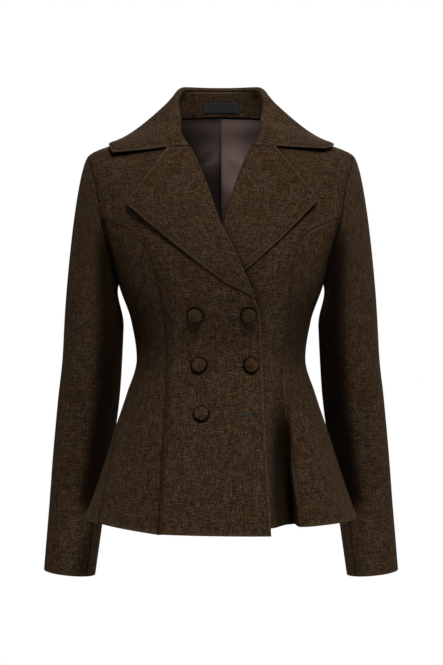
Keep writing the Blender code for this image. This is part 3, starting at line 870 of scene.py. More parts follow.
    def _grain(self) -> Array:
        """Each point's place on the flat cloth, the outer grid's and then the inner one's."""
        across, along = running_length(self.face, 1), running_length(self.face, 0)
        column = self.face.shape[1] // 2
        u = across - across[:, column : column + 1]
        v = np.broadcast_to(along[:, column : column + 1], u.shape)
        flat = np.stack((u, v), axis=-1).reshape(-1, 2)
        return np.concatenate((flat, flat))


class StitchRing(NamedTuple):
    """A ring of a stitch: its share along it, its share of the radius, and its rise in radii."""

    share: float
    swell: float
    rise: float


STITCH_RINGS = (
    StitchRing(0.0, 0.35, -0.6),
    StitchRing(0.22, 1.0, 0.0),
    StitchRing(0.78, 1.0, 0.0),
    StitchRing(1.0, 0.35, -0.6),
)


@dataclass
class Sewing:
    """Rows of topstitches on one piece, each stitch a short rounded thread."""

    name: str
    pitch: float = 3.3
    length: float = 2.5
    radius: float = 0.33
    sides: int = 5
    sink: float = 0.1
    slot: str = "tweed"
    spans: list = field(default_factory=list)

    def add_path(self, path: Array, normals: Array) -> None:
        """Adds a row of stitches along a path on cloth with these normals."""
        if len(path) < 2:
            return
        along = running_length(path[None], 1)[0]
        places = np.arange(0.5 * self.pitch, along[-1] - 0.5 * self.pitch, self.pitch)
        for place in places:
            ends = []
            for at in (place - self.length / 2, place + self.length / 2):
                ends.append([np.interp(at, along, path[:, k]) for k in range(3)])
            up = [np.interp(place, along, normals[:, k]) for k in range(3)]
            self.spans.append((np.array(ends[0]), np.array(ends[1]), unit(np.array(up))))

    def add_bar(self, start: Array, end: Array, up: Array) -> None:
        """Adds one stitch between two points."""
        self.spans.append((start, end, up))

    def build(self, finish: Material) -> Object:
        """Makes all the stitches as one mesh.

        Args:
            finish: The thread's material.

        Returns:
            The piece.
        """
        turns = 2 * math.pi * np.arange(self.sides) / self.sides
        points, faces = [], []
        for start, end, up in self.spans:
            faces.extend(tube_faces(len(points), self.sides, len(STITCH_RINGS)))
            beside = unit(np.cross(end - start, up))
            for ring in STITCH_RINGS:
                middle = lerp(start, end, ring.share) + up * self.radius * (ring.rise + 1 - self.sink)
                for turn in turns:
                    out = beside * math.cos(turn) + up * math.sin(turn)
                    points.append(tuple((middle + out * self.radius * ring.swell) * MM))
        mesh = closed_mesh(self.name, points, faces)
        mesh.shade_smooth()
        mesh.materials.append(finish)
        made = place_in_scene(self.name, mesh)
        return made


ALL_SEAMS = {side: Edge.SEAM for side in GridSide}
ALL_FREE = {side: Edge.FREE for side in GridSide}


@dataclass
class Piece:
    """A finished shell, which stands for the node of its own name."""

    shell: Shell
    slot: str = "tweed"
    held: str = "stretched"

    @property
    def node(self) -> str:
        """The node that the shell stands for."""
        return self.shell.name.removeprefix("cloth_")

    def dress(self, finish: Material, extras: Sequence[Object] = ()) -> None:
        made = self.shell.build()
        made.data.materials.append(finish)
        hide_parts(self.node)
        flat, area = self.shell.cut_size()
        LOG.info("%s: %d faces, cut %.2f by %.2f m", made.name, len(made.data.polygons), *flat)


@dataclass
class Body:
    """The eight panels of the body, sewn at princess, side, shoulder and centre back seams."""

    form: GarmentForm
    hem_offsets: tuple = PROFILE.plain_offsets
    armhole_rows: int = 20
    shoulder_rows: int = 14
    coarse: int = 12
    seam_stitch_last: float = 0.72
    edge_stitch_last: float = 0.575
    # Painted shade at the waist's sides, between the arms.
    waist_shade: float = 0.67
    waist_height: float = -300.0
    waist_reach: float = 95.0
    side_start: float = 0.5
    side_spread: float = 0.45

    def row_places(self, segments: int) -> Array:
        """Places of a panel's rows: 0 at the hem, 1 at the armhole, then one for each segment."""
        length = ARMHOLE_MIDDLE - HEM
        body = spaced_shares(np.array([length]), self.hem_offsets, (0.0,))[0]
        rows = [body]
        counts = (self.armhole_rows, self.shoulder_rows)
        for segment in range(segments - 1):
            rows.append(1 + segment + np.linspace(0, 1, counts[segment] + 1)[1:])
        return np.concatenate(rows)

    def centre_lines(self, side: Side, is_front: bool, rows: Array) -> tuple[Array, Array, Array]:
        """Each row's outer angle and height, and its height at the centre.

        Args:
            side: The wearer's side.
            is_front: Whether it is a front panel or a back one.
            rows: The rows' places.

        Returns:
            Outer angles, outer heights and inner heights.
        """
        seam = self.form.princess_angle if is_front else self.form.back_angle
        outer_sign = -1 if is_front else 1
        low, mid, high = np.clip(rows, 0, 1), np.clip(rows - 1, 0, 1), np.clip(rows - 2, 0, 1)
        hem_seam = self.form.hem_height(seam(side, np.float64(HEM)), side)
        middle = self.form.edge_angle(side, np.float64(HEM)) if is_front else BACK_CENTRE
        hem_middle = self.form.hem_height(middle, side)
        body_height = lerp(hem_seam, ARMHOLE_MIDDLE, low)
        turn = np.radians(QUARTER_TURN * mid)
        arm_height = ARMHOLE_MIDDLE + ARMHOLE_HALF_HEIGHT * np.sin(turn)
        arm_angle = side.value * (SIDE_SEAM + outer_sign * ARMHOLE_HALF_ANGLE * np.cos(turn))
        neck = NECK_EDGE_HEIGHT if is_front else NECK_TOP
        on_body, on_arm = rows <= 1, rows <= 2
        shoulder = lerp(ARMHOLE_TOP, NECK_TOP, high)
        angle = np.where(on_arm, arm_angle, side.value * SIDE_SEAM)
        angle = np.where(on_body, seam(side, body_height), angle)
        height = np.where(on_body, body_height, np.where(on_arm, arm_height, shoulder))
        inner = np.where(on_arm, arm_height, lerp(ARMHOLE_TOP, neck, high))
        inner = np.where(on_body, lerp(hem_middle, ARMHOLE_MIDDLE, low), inner)
        return angle, height, inner

    def centre_places(
        self, side: Side, is_front: bool, rows: Array, shares: Array
    ) -> tuple[Array, Array]:
        """Angles and heights of a centre panel's grid.

        Args:
            side: The wearer's side.
            is_front: Whether it is a front panel or a back one.
            rows: The rows' places.
            shares: Shares across each row, from the centre to the princess seam.

        Returns:
            Angles and heights.
        """
        lines = self.centre_lines(side, is_front, rows)
        outer_angle, outer_height, inner_height = (line[:, None] for line in lines)
        height = lerp(inner_height, outer_height, shares)
        if is_front:
            return lerp(self.form.edge_angle(side, inner_height), outer_angle, shares), height
        angle = lerp(side.value * BACK_CENTRE, outer_angle, shares)
        rise = smoothstep((outer_height - ARMHOLE_TOP) / (NECK_TOP - ARMHOLE_TOP))
        neck = self.form.back_neck(np.minimum(np.abs(angle), BACK_CENTRE)) - SEAM_GAP
        return angle, height + (neck - NECK_TOP) * rise

    def shaded_depth(self, angle: Array, height: Array, folds: Sequence[Fold]) -> Array:
        """The depth of the folds, with painted shade at the waist's sides, between the arms, added as a
        depth.
        """
        sideways = np.abs(np.sin(np.radians(angle)))
        side = smoothstep((sideways - self.side_start) / self.side_spread)
        waist = np.exp(-(((height - self.waist_height) / self.waist_reach) ** 2))
        shade = PROFILE.fold_reach * self.waist_shade * side * waist
        return self.form.fold_depth(angle, height, folds) + shade

    def centre_panel(self, side: Side, is_front: bool) -> Shell:
        """A centre front or a centre back, from its hem to its neck."""
        rows = self.row_places(3)
        folds = FOLDS[side] if side is Side.LEFT or not is_front else ()
        even = np.linspace(0, 1, self.coarse)[None]
        rough = self.form.skin(*self.centre_places(side, is_front, rows, even), folds)
        near = PROFILE.stitched_offsets if is_front else PROFILE.plain_offsets
        shares = spaced_shares(row_widths(rough), near, PROFILE.stitched_offsets)
        angle, height = self.centre_places(side, is_front, rows, shares)
        lift = self.form.lap_lift(side, angle, height) if is_front else np.zeros(angle.shape)
        edges = {**ALL_SEAMS, GridSide.FIRST_ROW: Edge.FREE}
        lines = [StitchLine(GridSide.LAST_COLUMN, last=self.seam_stitch_last)]
        if is_front:
            edges[GridSide.FIRST_COLUMN] = Edge.FREE
            lines.append(StitchLine(GridSide.FIRST_COLUMN, last=self.edge_stitch_last))
        return Shell(
            name=f"cloth_{'front' if is_front else 'back'}_centre_{side.word}",
            face=self.form.point(angle, height, lift, folds),
            normals=self.form.normal(angle, height, folds),
            thickness=CLOTH,
            edges=edges,
            stitch_lines=tuple(lines),
            depth=self.shaded_depth(angle, height, folds),
        )

    def side_places(
        self, side: Side, is_front: bool, rise: Array, share: Array
    ) -> tuple[Array, Array]:
        """Angles and heights of a side panel's grid.

        Args:
            side: The wearer's side.
            is_front: Whether it is a front panel or a back one.
            rise: Shares of the way from the hem to the armhole, down a column.
            share: Shares across each row, from the princess seam to the side seam.

        Returns:
            Angles and heights.
        """
        seam = self.form.princess_angle if is_front else self.form.back_angle
        hem_seam = self.form.hem_height(seam(side, np.float64(HEM)), side)
        hem_side = self.form.hem_height(self.form.side_angle(side, np.float64(HEM)), side)
        rise = rise[:, None]
        seam_height = lerp(hem_seam, ARMHOLE_MIDDLE, rise)
        side_height = lerp(hem_side, ARMHOLE_FOOT, rise)
        seam_angle, side_angle = seam(side, seam_height), self.form.side_angle(side, side_height)
        turn = np.radians(QUARTER_TURN * share)
        angle = lerp(seam_angle, side_angle, lerp(share, 1 - np.cos(turn), rise))
        height = lerp(seam_height, side_height, lerp(share, np.sin(turn), rise))
        return angle, height

    def side_panel(self, side: Side, is_front: bool) -> Shell:
        """A side front or a side back, its top cut to the armhole."""
        rise = self.row_places(1)
        folds = FOLDS[side]
        even = np.linspace(0, 1, self.coarse)[None]
        rough = self.form.skin(*self.side_places(side, is_front, rise, even), folds)
        shares = spaced_shares(row_widths(rough), PROFILE.plain_offsets, PROFILE.plain_offsets)
        angle, height = self.side_places(side, is_front, rise, shares)
        edges = {**ALL_SEAMS, GridSide.FIRST_ROW: Edge.FREE}
        # The seam on the fold's ridge is rounded as a free edge and takes its painted highlight.
        if is_front and side is Side.LEFT:
            edges[GridSide.FIRST_COLUMN] = Edge.FREE
        return Shell(
            name=f"cloth_{'front' if is_front else 'back'}_side_{side.word}",
            face=self.form.point(angle, height, 0.0, folds),
            normals=self.form.normal(angle, height, folds),
            thickness=CLOTH,
            edges=edges,
            depth=self.shaded_depth(angle, height, folds),
        )

    def build(self, tweed: Material, thread: Material, holes: Sequence[Object]) -> None:
        """Builds and dresses the eight panels, with topstitches on the centre panels."""
        for side in Side:
            for is_front in (True, False):
                shell = self.centre_panel(side, is_front)
                extras = [sewing_of(shell, thread)]
                if is_front and side is Side.RIGHT:
                    extras.extend(holes)
                Piece(shell).dress(tweed, extras)
                Piece(self.side_panel(side, is_front)).dress(tweed)


def sewing_of(shell: Shell, thread: Material, slot: str = "tweed") -> Object:
    """The topstitches of a shell's stitch lines, as one piece."""
    sewing = Sewing(shell.name.replace("cloth_", "topstitch_"), slot=slot)
    for line in shell.stitch_lines:
        sewing.add_path(*shell.stitch_path(line))
    return sewing.build(thread)


@dataclass
class Lapels:
    """The turned-out leaves of the two fronts, from the break to the gorge."""

    form: GarmentForm
    lower_rows: int = 44
    upper_rows: int = 26
    roll_steps: int = 10
    leaf_first: float = 1 / 6
    coarse: int = 9
    puff: float = 0.9
    foot_taper: float = 0.16
    foot_radius: float = 1.4
    tight_share: float = 0.5
    stitch_first: float = 0.03

    def leaf_rows(self, side: Side) -> tuple[Array, Array, Array, Array]:
        """Each row's height at the roll, its height and reach at the edge, and its edge's lift."""
        corner, notch = LAPEL_CORNER[side], LAPEL_NOTCH[side]
        rise = np.linspace(0, 1, self.lower_rows + 1)[:-1]
        foot = LAPEL_FOOT[side]
        low = lerp(foot.height, corner.height, rise)
        belly = LAPEL_BELLY * np.sin(math.pi * rise)
        low_reach = lerp(foot.reach, corner.reach, rise) + belly
        opening = np.sin(np.clip(rise / self.foot_taper, 0, 1) * math.pi / 2)
        low_reach = lerp(-self.form.edge(low), low_reach, opening)
        low_lift = lerp(LAPEL_FOOT_LIFT, LAPEL_CORNER_LIFT, rise**3)
        rise = np.linspace(0, 1, self.upper_rows + 1)
        high = lerp(corner.height, GORGE_HEIGHT, rise)
        high_edge = lerp(corner.height, notch.height, rise)
        high_reach = lerp(corner.reach, notch.reach, rise)
        high_lift = np.full(rise.shape, LAPEL_CORNER_LIFT)
        return (
            np.concatenate((low, high)),
            np.concatenate((low, high_edge)),
            np.concatenate((low_reach, high_reach)),
            np.concatenate((low_lift, high_lift)),
        )

    def radius(self, side: Side) -> Array:
        """The roll's radius at each row, which tightens towards the break."""
        rows = self.leaf_rows(side)[0]
        foot = LAPEL_FOOT[side]
        share = (rows - foot.height) / (LAPEL_CORNER[side].height - foot.height)
        return lerp(self.foot_radius, ROLL_RADIUS, smoothstep(share / self.tight_share))

    def leaf(self, side: Side, along: Array) -> Array:
        """Middle points of the flat leaf at shares of each row, from the roll to the edge."""
        roll, edge, reach, lift = (row[:, None] for row in self.leaf_rows(side))
        roll_x = -side.value * self.form.edge(roll)
        height = lerp(roll, edge, along)
        angle = self.form.front_angle(lerp(roll_x, side.value * reach, along), height)
        base = self.form.lap_lift(side, angle, height) - CLOTH / 2 + self.radius(side)[:, None]
        soft = self.puff * np.sin(math.pi * along) * np.clip(lift / LAPEL_CORNER_LIFT, 0, 1)
        return self.form.point(angle, height, base + lift * along**2 + soft)

    def middle(self, side: Side) -> Array:
        """The middle grid of a lapel, with its half turn round the roll line."""
        rough = self.leaf(side, np.linspace(0, 1, self.coarse)[None])
        widths = row_widths(rough)
        shares = spaced_shares(widths, PROFILE.roll_offsets, PROFILE.stitched_offsets, LEAF_STEP)
        leaf = self.leaf(side, shares)
        first = self.leaf(side, np.full((len(widths), 1), self.leaf_first))[:, 0]
        across = unit(first - leaf[:, 0])
        roll = self.leaf_rows(side)[0]
        angle = self.form.front_angle(-side.value * self.form.edge(roll), roll)
        base = self.form.lap_lift(side, angle, roll) - CLOTH / 2
        centre = self.form.point(angle, roll, base)
        out = self.form.normal(angle, roll)
        rolled = half_turn(centre, out, across, self.radius(side)[:, None, None], self.roll_steps)
        return np.concatenate((rolled, leaf), axis=1)

    def shell(self, side: Side) -> Shell:
        """A lapel as a shell with its edge topstitched."""
        middle = self.middle(side)
        normals = grid_normals(middle) * side.value
        face = middle + normals * LEAF_CLOTH / 2
        return Shell(
            name=f"cloth_lapel_{side.word}",
            face=face,
            normals=normals,
            thickness=LEAF_CLOTH,
            edges={**ALL_FREE, GridSide.LAST_ROW: Edge.SEAM},
            stitch_lines=(StitchLine(GridSide.LAST_COLUMN, first=self.stitch_first),),
            reach={GridSide.LAST_COLUMN: line_distance(face, face[:, -1])},
        )

    def build(self, tweed: Material, thread: Material) -> None:
        """Builds and dresses both lapels."""
        for side in Side:
            shell = self.shell(side)
            Piece(shell, held="folded").dress(tweed, [sewing_of(shell, thread)])


@dataclass
class Collar:
    """The collar's fall and stand, folded over the neck seam, with the plain label."""

    form: GarmentForm
    steps: int = 170
    length: float = 560.0
    coarse: int = 10
    roll_steps: int = 10
    stand_steps: int = 14
    stand_points: int = 128
    stand_pull: float = 1 / 3
    stand_first: float = 4 / 30
    leaf_columns: int = 6
    leaf_pull: float = 0.34
    leaf_fall: float = 0.3
    edge_step: float = 0.1
    fold_step: float = 0.004
    laid_share: float = 0.2
    gorge_bend: float = 1.3
    gorge_tuck: float = 2.0
    tuck_columns: int = 4
    edge_stitch: tuple = (0.012, 0.988)
    end_stitch: tuple = (0.55, 0.95)
    label_half: float = 2 / 30
    label_foot: float = 0.2
    label_top: float = 0.6
    label_points: tuple = (41, 17)
    label_inset: float = 2.0
    lines: dict = field(default_factory=dict)

    def __post_init__(self) -> None:
        """Makes the curves of the stations along the whole collar, 0 to 1 right to left."""
        last = 2 * (len(STATIONS) - 1)
        places = [k / last for k in range(last + 1)]
        for name in Station._fields:
            right = [getattr(station, name) for station in STATIONS]
            left = right[-2::-1]
            if name.endswith("angle"):
                left = [FULL_TURN - value for value in left]
            if name == "edge_height":
                left[-1] += LEFT_TIP_RISE
            self.lines[name] = Curve(places, right + left)

    def point(self, line: str, share: Array, lift: Array = 0.0) -> Array:
        """A point of the neck, fold or edge line."""
        angle, height = self.lines[line + "_angle"](share), self.lines[line + "_height"](share)
        return self.form.point(-angle, height, lift)

    def edge_approach(self, share: Array) -> Array:
        """A point just inside the outer edge, on the way to the fold."""
        lines = self.lines
        angle = lerp(lines["edge_angle"](share), lines["fold_angle"](share), self.edge_step)
        height = lerp(lines["edge_height"](share), lines["fold_height"](share), self.edge_step)
        return self.form.point(-angle, height, lines["edge_lift"](share))

    def laid(self, share: Array, t: Array) -> Array:
        """Points of the fall where it lies flat on the front, by the gorge."""
        lines = self.lines
        angle = lerp(lines["fold_angle"](share), lines["edge_angle"](share), t)
        drop = t**self.gorge_bend
        height = lerp(lines["fold_height"](share), lines["edge_height"](share), drop)
        lift = lerp(ROLL_RADIUS - CLOTH / 2, lines["edge_lift"](share), t * t)
        return self.form.point(-angle, height, lift)

    def freedom(self, share: Array) -> Array:
        """How far the fall stands off the form: none at the gorge, all of it behind the front."""
        return smoothstep(np.minimum(share, 1 - share) / self.laid_share)

    def fold_frame(self, share: Array) -> tuple[Array, Array, Array, Array]:
        """The fold's centre, the outer edge, and the directions across the fall and out of it."""
        centre = self.point("fold", share, -CLOTH / 2)
        edge = self.point("edge", share, self.lines["edge_lift"](share))
        ahead, behind = np.minimum(share + self.fold_step, 1), np.maximum(share - self.fold_step, 0)
        along = self.point("fold", ahead) - self.point("fold", behind)
        beside = np.full(share.shape, 1 / self.leaf_columns)
        flat = unit(self.laid(share, beside) - self.laid(share, 0 * share))
        falling = lerp(unit(edge - centre), DOWN, self.leaf_fall)
        across = lerp(flat, falling, self.freedom(share)[:, None])
        out = unit(np.cross(along, across))
        return centre, edge, unit(np.cross(out, along)), out

    def leaf(self, share: Array, t: Array) -> Array:
        """Middle points of the fall at shares of each row, from the fold to the outer edge."""
        centre, edge, across, out = (row[:, None] for row in self.fold_frame(share))
        start = centre + out * ROLL_RADIUS
        length = np.linalg.norm(edge - start, axis=-1, keepdims=True)
        arrive = unit(edge - self.edge_approach(share)[:, None])
        first = start + across * length * self.leaf_pull
        second = edge - arrive * length * self.leaf_pull
        free = bezier(start, first, second, edge, t[..., None])
        laid = self.laid(np.broadcast_to(share[:, None], t.shape), t)
        return lerp(laid, free, self.freedom(share)[:, None, None])

    def fall_middle(self) -> Array:
        """The middle grid of the fall: fold to outer edge, right gorge to left, lapped at the gorge."""
        ends = np.array(PROFILE.stitched_offsets) / self.length
        share = np.unique(np.concatenate((ends, np.linspace(0, 1, self.steps + 1), 1 - ends)))
        even = np.linspace(0, 1, self.coarse)
        widths = row_widths(self.leaf(share, np.broadcast_to(even, (len(share), self.coarse))))
        t = spaced_shares(widths, PROFILE.roll_offsets, PROFILE.stitched_offsets, LEAF_STEP)
        centre, _, across, out = self.fold_frame(share)
        rolled = half_turn(centre, out, across, ROLL_RADIUS, self.roll_steps)
        middle = np.concatenate((rolled, self.leaf(share, t)), axis=1)
        hold = 1 - smoothstep((np.arange(middle.shape[1]) - self.roll_steps) / self.tuck_columns)
        for end, beside in ((0, 1), (-1, -2)):
            middle[end] += unit(middle[end] - middle[beside]) * self.gorge_tuck * hold[:, None]
        return middle

    def fall(self) -> Shell:
        """The fall as a shell, topstitched round its outer edge and front ends."""
        middle = self.fall_middle()
        normals = -grid_normals(middle)
        face = middle + normals * LEAF_CLOTH / 2
        leaf = face[:, self.roll_steps :]
        reach = {
            GridSide.LAST_COLUMN: line_distance(face, face[:, -1]),
            GridSide.FIRST_ROW: line_distance(face, leaf[0]),
            GridSide.LAST_ROW: line_distance(face, leaf[-1]),
        }
        lines = (
            StitchLine(GridSide.LAST_COLUMN, *self.edge_stitch),
            StitchLine(GridSide.FIRST_ROW, *self.end_stitch),
            StitchLine(GridSide.LAST_ROW, *self.end_stitch),
        )
        return Shell("cloth_collar_fall", face, normals, LEAF_CLOTH, ALL_FREE, lines, reach)

    def stand_rows(self, share: Array, t: Array) -> Array:
        """Middle points of the stand, neck seam to fold."""
        centre, _, across, out = self.fold_frame(share)
        top = centre - out * ROLL_RADIUS + across * (2 * SEAM_GAP)
        foot = self.point("neck", share, -CLOTH / 2)
        foot[:, 2] = self.lines["neck_height"](share)
        first = lerp(foot, top, self.stand_pull)
        length = np.linalg.norm(top - foot, axis=-1, keepdims=True)
        second = top + across * length * self.stand_pull
        handles = (row[:, None] for row in (foot, first, second, top))
        return bezier(*handles, t[None, :, None])

    def stand(self) -> Shell:
        """The stand as a shell, whose face is the inside of the neck."""
        share = np.linspace(self.stand_first, 1 - self.stand_first, self.stand_points)
        middle = self.stand_rows(share, np.linspace(0, 1, self.stand_steps + 1))
        normals = -grid_normals(middle)
        # The stand's top, where it folds into the fall, is treated as a free edge: rounded, with a
        # painted highlight and no darker seam line.
        edges = {**ALL_SEAMS, GridSide.LAST_COLUMN: Edge.FREE}
        return Shell("cloth_collar_stand", middle + normals * CLOTH / 2, normals, CLOTH, edges)

    def label(self) -> Shell:
        """A plain woven label on the stand's inner face at the centre back."""
        along, up = self.label_points
        share = np.linspace(0.5 - self.label_half, 0.5 + self.label_half, along)
        middle = self.stand_rows(share, np.linspace(self.label_foot, self.label_top, up))
        normals = -grid_normals(middle)
        face = middle + normals * (CLOTH / 2 + SEAM_GAP + LABEL_CLOTH)
        ends = (GridSide.FIRST_ROW, GridSide.LAST_ROW)
        lines = tuple(StitchLine(end, inset=self.label_inset) for end in ends)
        return Shell("cloth_neck_label", face, normals, LABEL_CLOTH, ALL_FREE, lines)

    def build(self, tweed: Material, thread: Material, black: Material) -> None:
        """Builds and dresses the fall, the stand and the label."""
        fall = self.fall()
        Piece(fall, held="folded").dress(tweed, [sewing_of(fall, thread)])
        Piece(self.stand()).dress(tweed)
        label, slot = self.label(), "woven_label"
        Piece(label, slot, "laid").dress(black, [sewing_of(label, black, slot)])


# Creases of the sleeves, across in degrees round the arm: 0 outside, 90 front, 180 inside, 270 back
SLEEVE_CREASES = {
    Side.RIGHT: rows_of(
        Crease,
        (96, -392, 30, -438, 15, 1.2),
        (118, -430, 58, -456, 12, 0.9),
        (250, -380, 318, -424, 16, -1.4),
        (236, -446, 300, -470, 13, 1.1),
        (42, -180, 52, -640, 17, -0.9),
        (6, -250, 14, -600, 20, 0.8),
        (98, -190, 84, -290, 13, 1.2),
        (286, -170, 296, -300, 15, 1.5),
        (330, -520, 318, -650, 16, 1.0),
    ),
    Side.LEFT: rows_of(
        Crease,
        (104, -404, 36, -446, 16, 1.1),
        (120, -442, 66, -474, 12, -0.9),
        (246, -392, 312, -432, 15, -1.2),
        (240, -455, 306, -486, 14, 1.3),
        (36, -200, 48, -645, 16, -1.0),
        (2, -230, 8, -610, 19, 0.9),
        (92, -196, 80, -305, 14, 1.3),
        (290, -182, 300, -318, 16, 1.3),
        (322, -540, 332, -655, 15, 0.9),
    ),
}
ARM_ARC = 0.85


@dataclass
class Sleeves:
    """Two-piece sleeves: each runs from its armhole over the cap and down to an open cuff."""

    form: GarmentForm
    front_seam: float = 135.0
    back_seam: float = 240.0
    inner_ring: float = 0.9
    cap_top_pull: float = 0.075
    cap_side_pull: float = 0.30
    cap_top_spread: float = 0.1
    cap_side_spread: float = 0.5
    cap_side_drop: float = 1.2
    cap_drop: float = 0.40
    cap_length: float = 250.0
    coarse: int = 40
    nudge: float = 0.4
    row_nudge: float = 0.004
    blend: float = 0.05
    crease_start: float = 0.2
    allowance: float = 2.4
    armhole_gap: float = 0.04
    # Painted shade on the inside of the arm, down to the peplum's hem, where the body's shadow falls.
    shade_turn: float = 168.0
    shade_spread: float = 70.0
    shade_share: float = 0.95
    shade_power: int = 6
    shade_low: float = -585.0
    shade_fade: float = 50.0

    def __post_init__(self) -> None:
        """Makes the arm's curves and the rows' places."""
        self.arm_lines = curves(SLEEVE_SECTIONS, "height")
        self.biceps, self.cuff = SLEEVE_SECTIONS[0].height, SLEEVE_SECTIONS[-1].height
        cap = spaced_shares(np.array([self.cap_length]), PROFILE.plain_offsets, (0.0,))[0]
        arm = spaced_shares(np.array([self.biceps - self.cuff]), (0.0,), PROFILE.plain_offsets)[0]
        self.rows = np.concatenate((cap, 1 + arm[1:]))

    def arm(self, side: Side, turn: Array, height: Array) -> Array:
        """Points of the arm at turns round it and heights at its middle."""
        across = np.cos(turn)
        x = self.arm_lines["centre_x"](height) + across * self.arm_lines["half_width"](height)
        y = self.arm_lines["centre_y"](height) - np.sin(turn) * self.arm_lines["half_depth"](height)
        z = height + across * self.arm_lines["tilt"](height)
        return np.stack(np.broadcast_arrays(side.value * x, y, z), axis=-1)

    def armhole(self, side: Side, turn: Array) -> tuple[Array, Array, Array, Array]:
        """The armhole's points, the form's normals, the ways into the hole, and how near its top."""

        def ring(size: float) -> tuple[Array, Array]:
            """Angles and heights of the armhole's oval at a share of its size."""
            angle = side.value * (SIDE_SEAM - size * ARMHOLE_HALF_ANGLE * np.sin(turn))
            return angle, ARMHOLE_MIDDLE + size * ARMHOLE_HALF_HEIGHT * np.cos(turn)

        point, normal = self.form.skin(*ring(1.0)), self.form.normal(*ring(1.0))
        into = self.form.skin(*ring(self.inner_ring)) - point
        into = unit(into - normal * (into * normal).sum(axis=-1, keepdims=True))
        return point, normal, into, (1 + np.cos(turn))[..., None] / 2

    def grid(self, side: Side, turn: Array, rows: Array) -> Array:
        """Smooth points of a sleeve.

        Args:
            side: The wearer's side.
            turn: Radians round the arm.
            rows: Places along it: 0 at the armhole, 1 at the biceps, 2 at the cuff.

        Returns:
            Points for each turn and row.
        """
        turn, rows = np.broadcast_arrays(turn, np.clip(rows, 0.0, 2.0))
        point, normal, into, top = self.armhole(side, turn)
        start = point + into * self.armhole_gap
        biceps = np.full(turn.shape, float(self.biceps))
        end = self.arm(side, turn, biceps)
        drop = DOWN * self.cap_side_drop * (1 - top)
        spread = lerp(self.cap_side_spread, self.cap_top_spread, top)
        leave = unit(into * top + normal * spread + drop)
        arrive = unit(self.arm(side, turn, biceps - 1) - end)
        reach = np.linalg.norm(end - start, axis=-1, keepdims=True)
        first = start + leave * reach * lerp(self.cap_side_pull, self.cap_top_pull, top)
        second = end - arrive * reach * self.cap_drop
        cap = bezier(start, first, second, end, np.clip(rows, 0, 1)[..., None])
        arm = self.arm(side, turn, lerp(self.biceps, self.cuff, np.clip(rows - 1, 0, 1)))
        return np.where((rows <= 1)[..., None], cap, arm)

    def normals(self, side: Side, turn: Array, rows: Array) -> Array:
        """Outward normals of a sleeve, turned to the form's own at the top of the armhole."""
        step = np.radians(self.nudge)
        around = self.grid(side, turn + step, rows) - self.grid(side, turn - step, rows)
        along = self.grid(side, turn, rows + self.row_nudge)
        along = along - self.grid(side, turn, rows - self.row_nudge)
        _, sewn, _, top = self.armhole(side, turn)
        share = top * (1 - smoothstep(rows / self.blend))[..., None]
        return unit(lerp(unit(np.cross(around, along)) * side.value, sewn, share))

    def shade(self, turn: Array, height: Array) -> Array:
        """How much painted shade lies on the inside of the arm, down to the hem, where the body's
        shadow falls.
        """
        off = (np.degrees(turn) % FULL_TURN - self.shade_turn) / self.shade_spread
        above_hem = smoothstep((height - self.shade_low) / self.shade_fade)
        return self.shade_share * np.exp(-(off**self.shade_power)) * above_hem

    def shell(self, side: Side, is_top: bool) -> Shell:
        """A top sleeve or an under sleeve, with a seam allowance turned in at its armhole."""
        first, last = self.back_seam, self.front_seam + FULL_TURN
        if not is_top:
            first, last = self.front_seam, self.back_seam
        rows = self.rows[:, None]
        even = np.radians(np.linspace(first, last, self.coarse))[None]
        widths = row_widths(self.grid(side, even, rows))
        shares = spaced_shares(widths, PROFILE.plain_offsets, PROFILE.plain_offsets)
        turn = np.radians(lerp(first, last, shares))
        rows = np.broadcast_to(rows, turn.shape)
        face, normals = self.grid(side, turn, rows), self.normals(side, turn, rows)
        depth = np.zeros(turn.shape)
        for whole in (-FULL_TURN, 0, FULL_TURN):
            across = np.degrees(turn) + whole
            depth = depth + crease_depth(across, face[..., 2], SLEEVE_CREASES[side], ARM_ARC)
        face = face - normals * (depth * smoothstep(rows / self.crease_start))[..., None]
        point, out, into, _ = self.armhole(side, turn[:1])
        turned = point + into * (self.armhole_gap - PROFILE.seam_dip) - out * self.allowance
        face = np.concatenate((turned, face))
        normals = np.concatenate((-into, normals))
        turn = np.concatenate((turn[:1], turn))
        reach = {GridSide.FIRST_ROW: np.maximum(running_length(face, 0) - self.allowance, 0)}
        return Shell(
            name=f"cloth_sleeve_{'top' if is_top else 'under'}_{side.word}",
            face=face,
            normals=normals,
            thickness=CLOTH,
            edges={**ALL_SEAMS, GridSide.LAST_ROW: Edge.FREE},
            reach=reach,
            depth=PROFILE.fold_reach * self.shade(turn, face[..., 2]),
        )

    def build(self, tweed: Material) -> None:
        """Builds and dresses the four sleeve pieces."""
        for side in Side:
            for is_top in (True, False):
                Piece(self.shell(side, is_top)).dress(tweed)


# Billows of the lining, across in degrees round the form, deep ones standing in from the cloth
LINING_BILLOWS = rows_of(
    Crease,
    (-174, -20, -169, -300, 12, 3.0),
    (-160, -60, -150, -330, 15, 4.0),
    (-146, -120, -139, -300, 13, 3.0),
    (-166, -280, -158, -520, 18, 4.0),
    (171, -40, 166, -330, 13, 3.5),
    (158, -30, 151, -260, 14, 3.0),
    (148, -150, 140, -340, 14, 4.0),
    (164, -320, 156, -530, 17, 4.0),
    (-179, -40, -157, -88, 7, 3.4),
    (-172, -26, -154, -58, 6, 2.4),
    (-176, -84, -160, -128, 7, 3.4),
    (-158, -76, -170, -172, 7, 3.0),
    (176, -34, 160, -62, 7, 2.0),
    (177, -78, 162, -124, 8, 2.6),
    (158, -52, 170, -140, 7, 2.2),
)


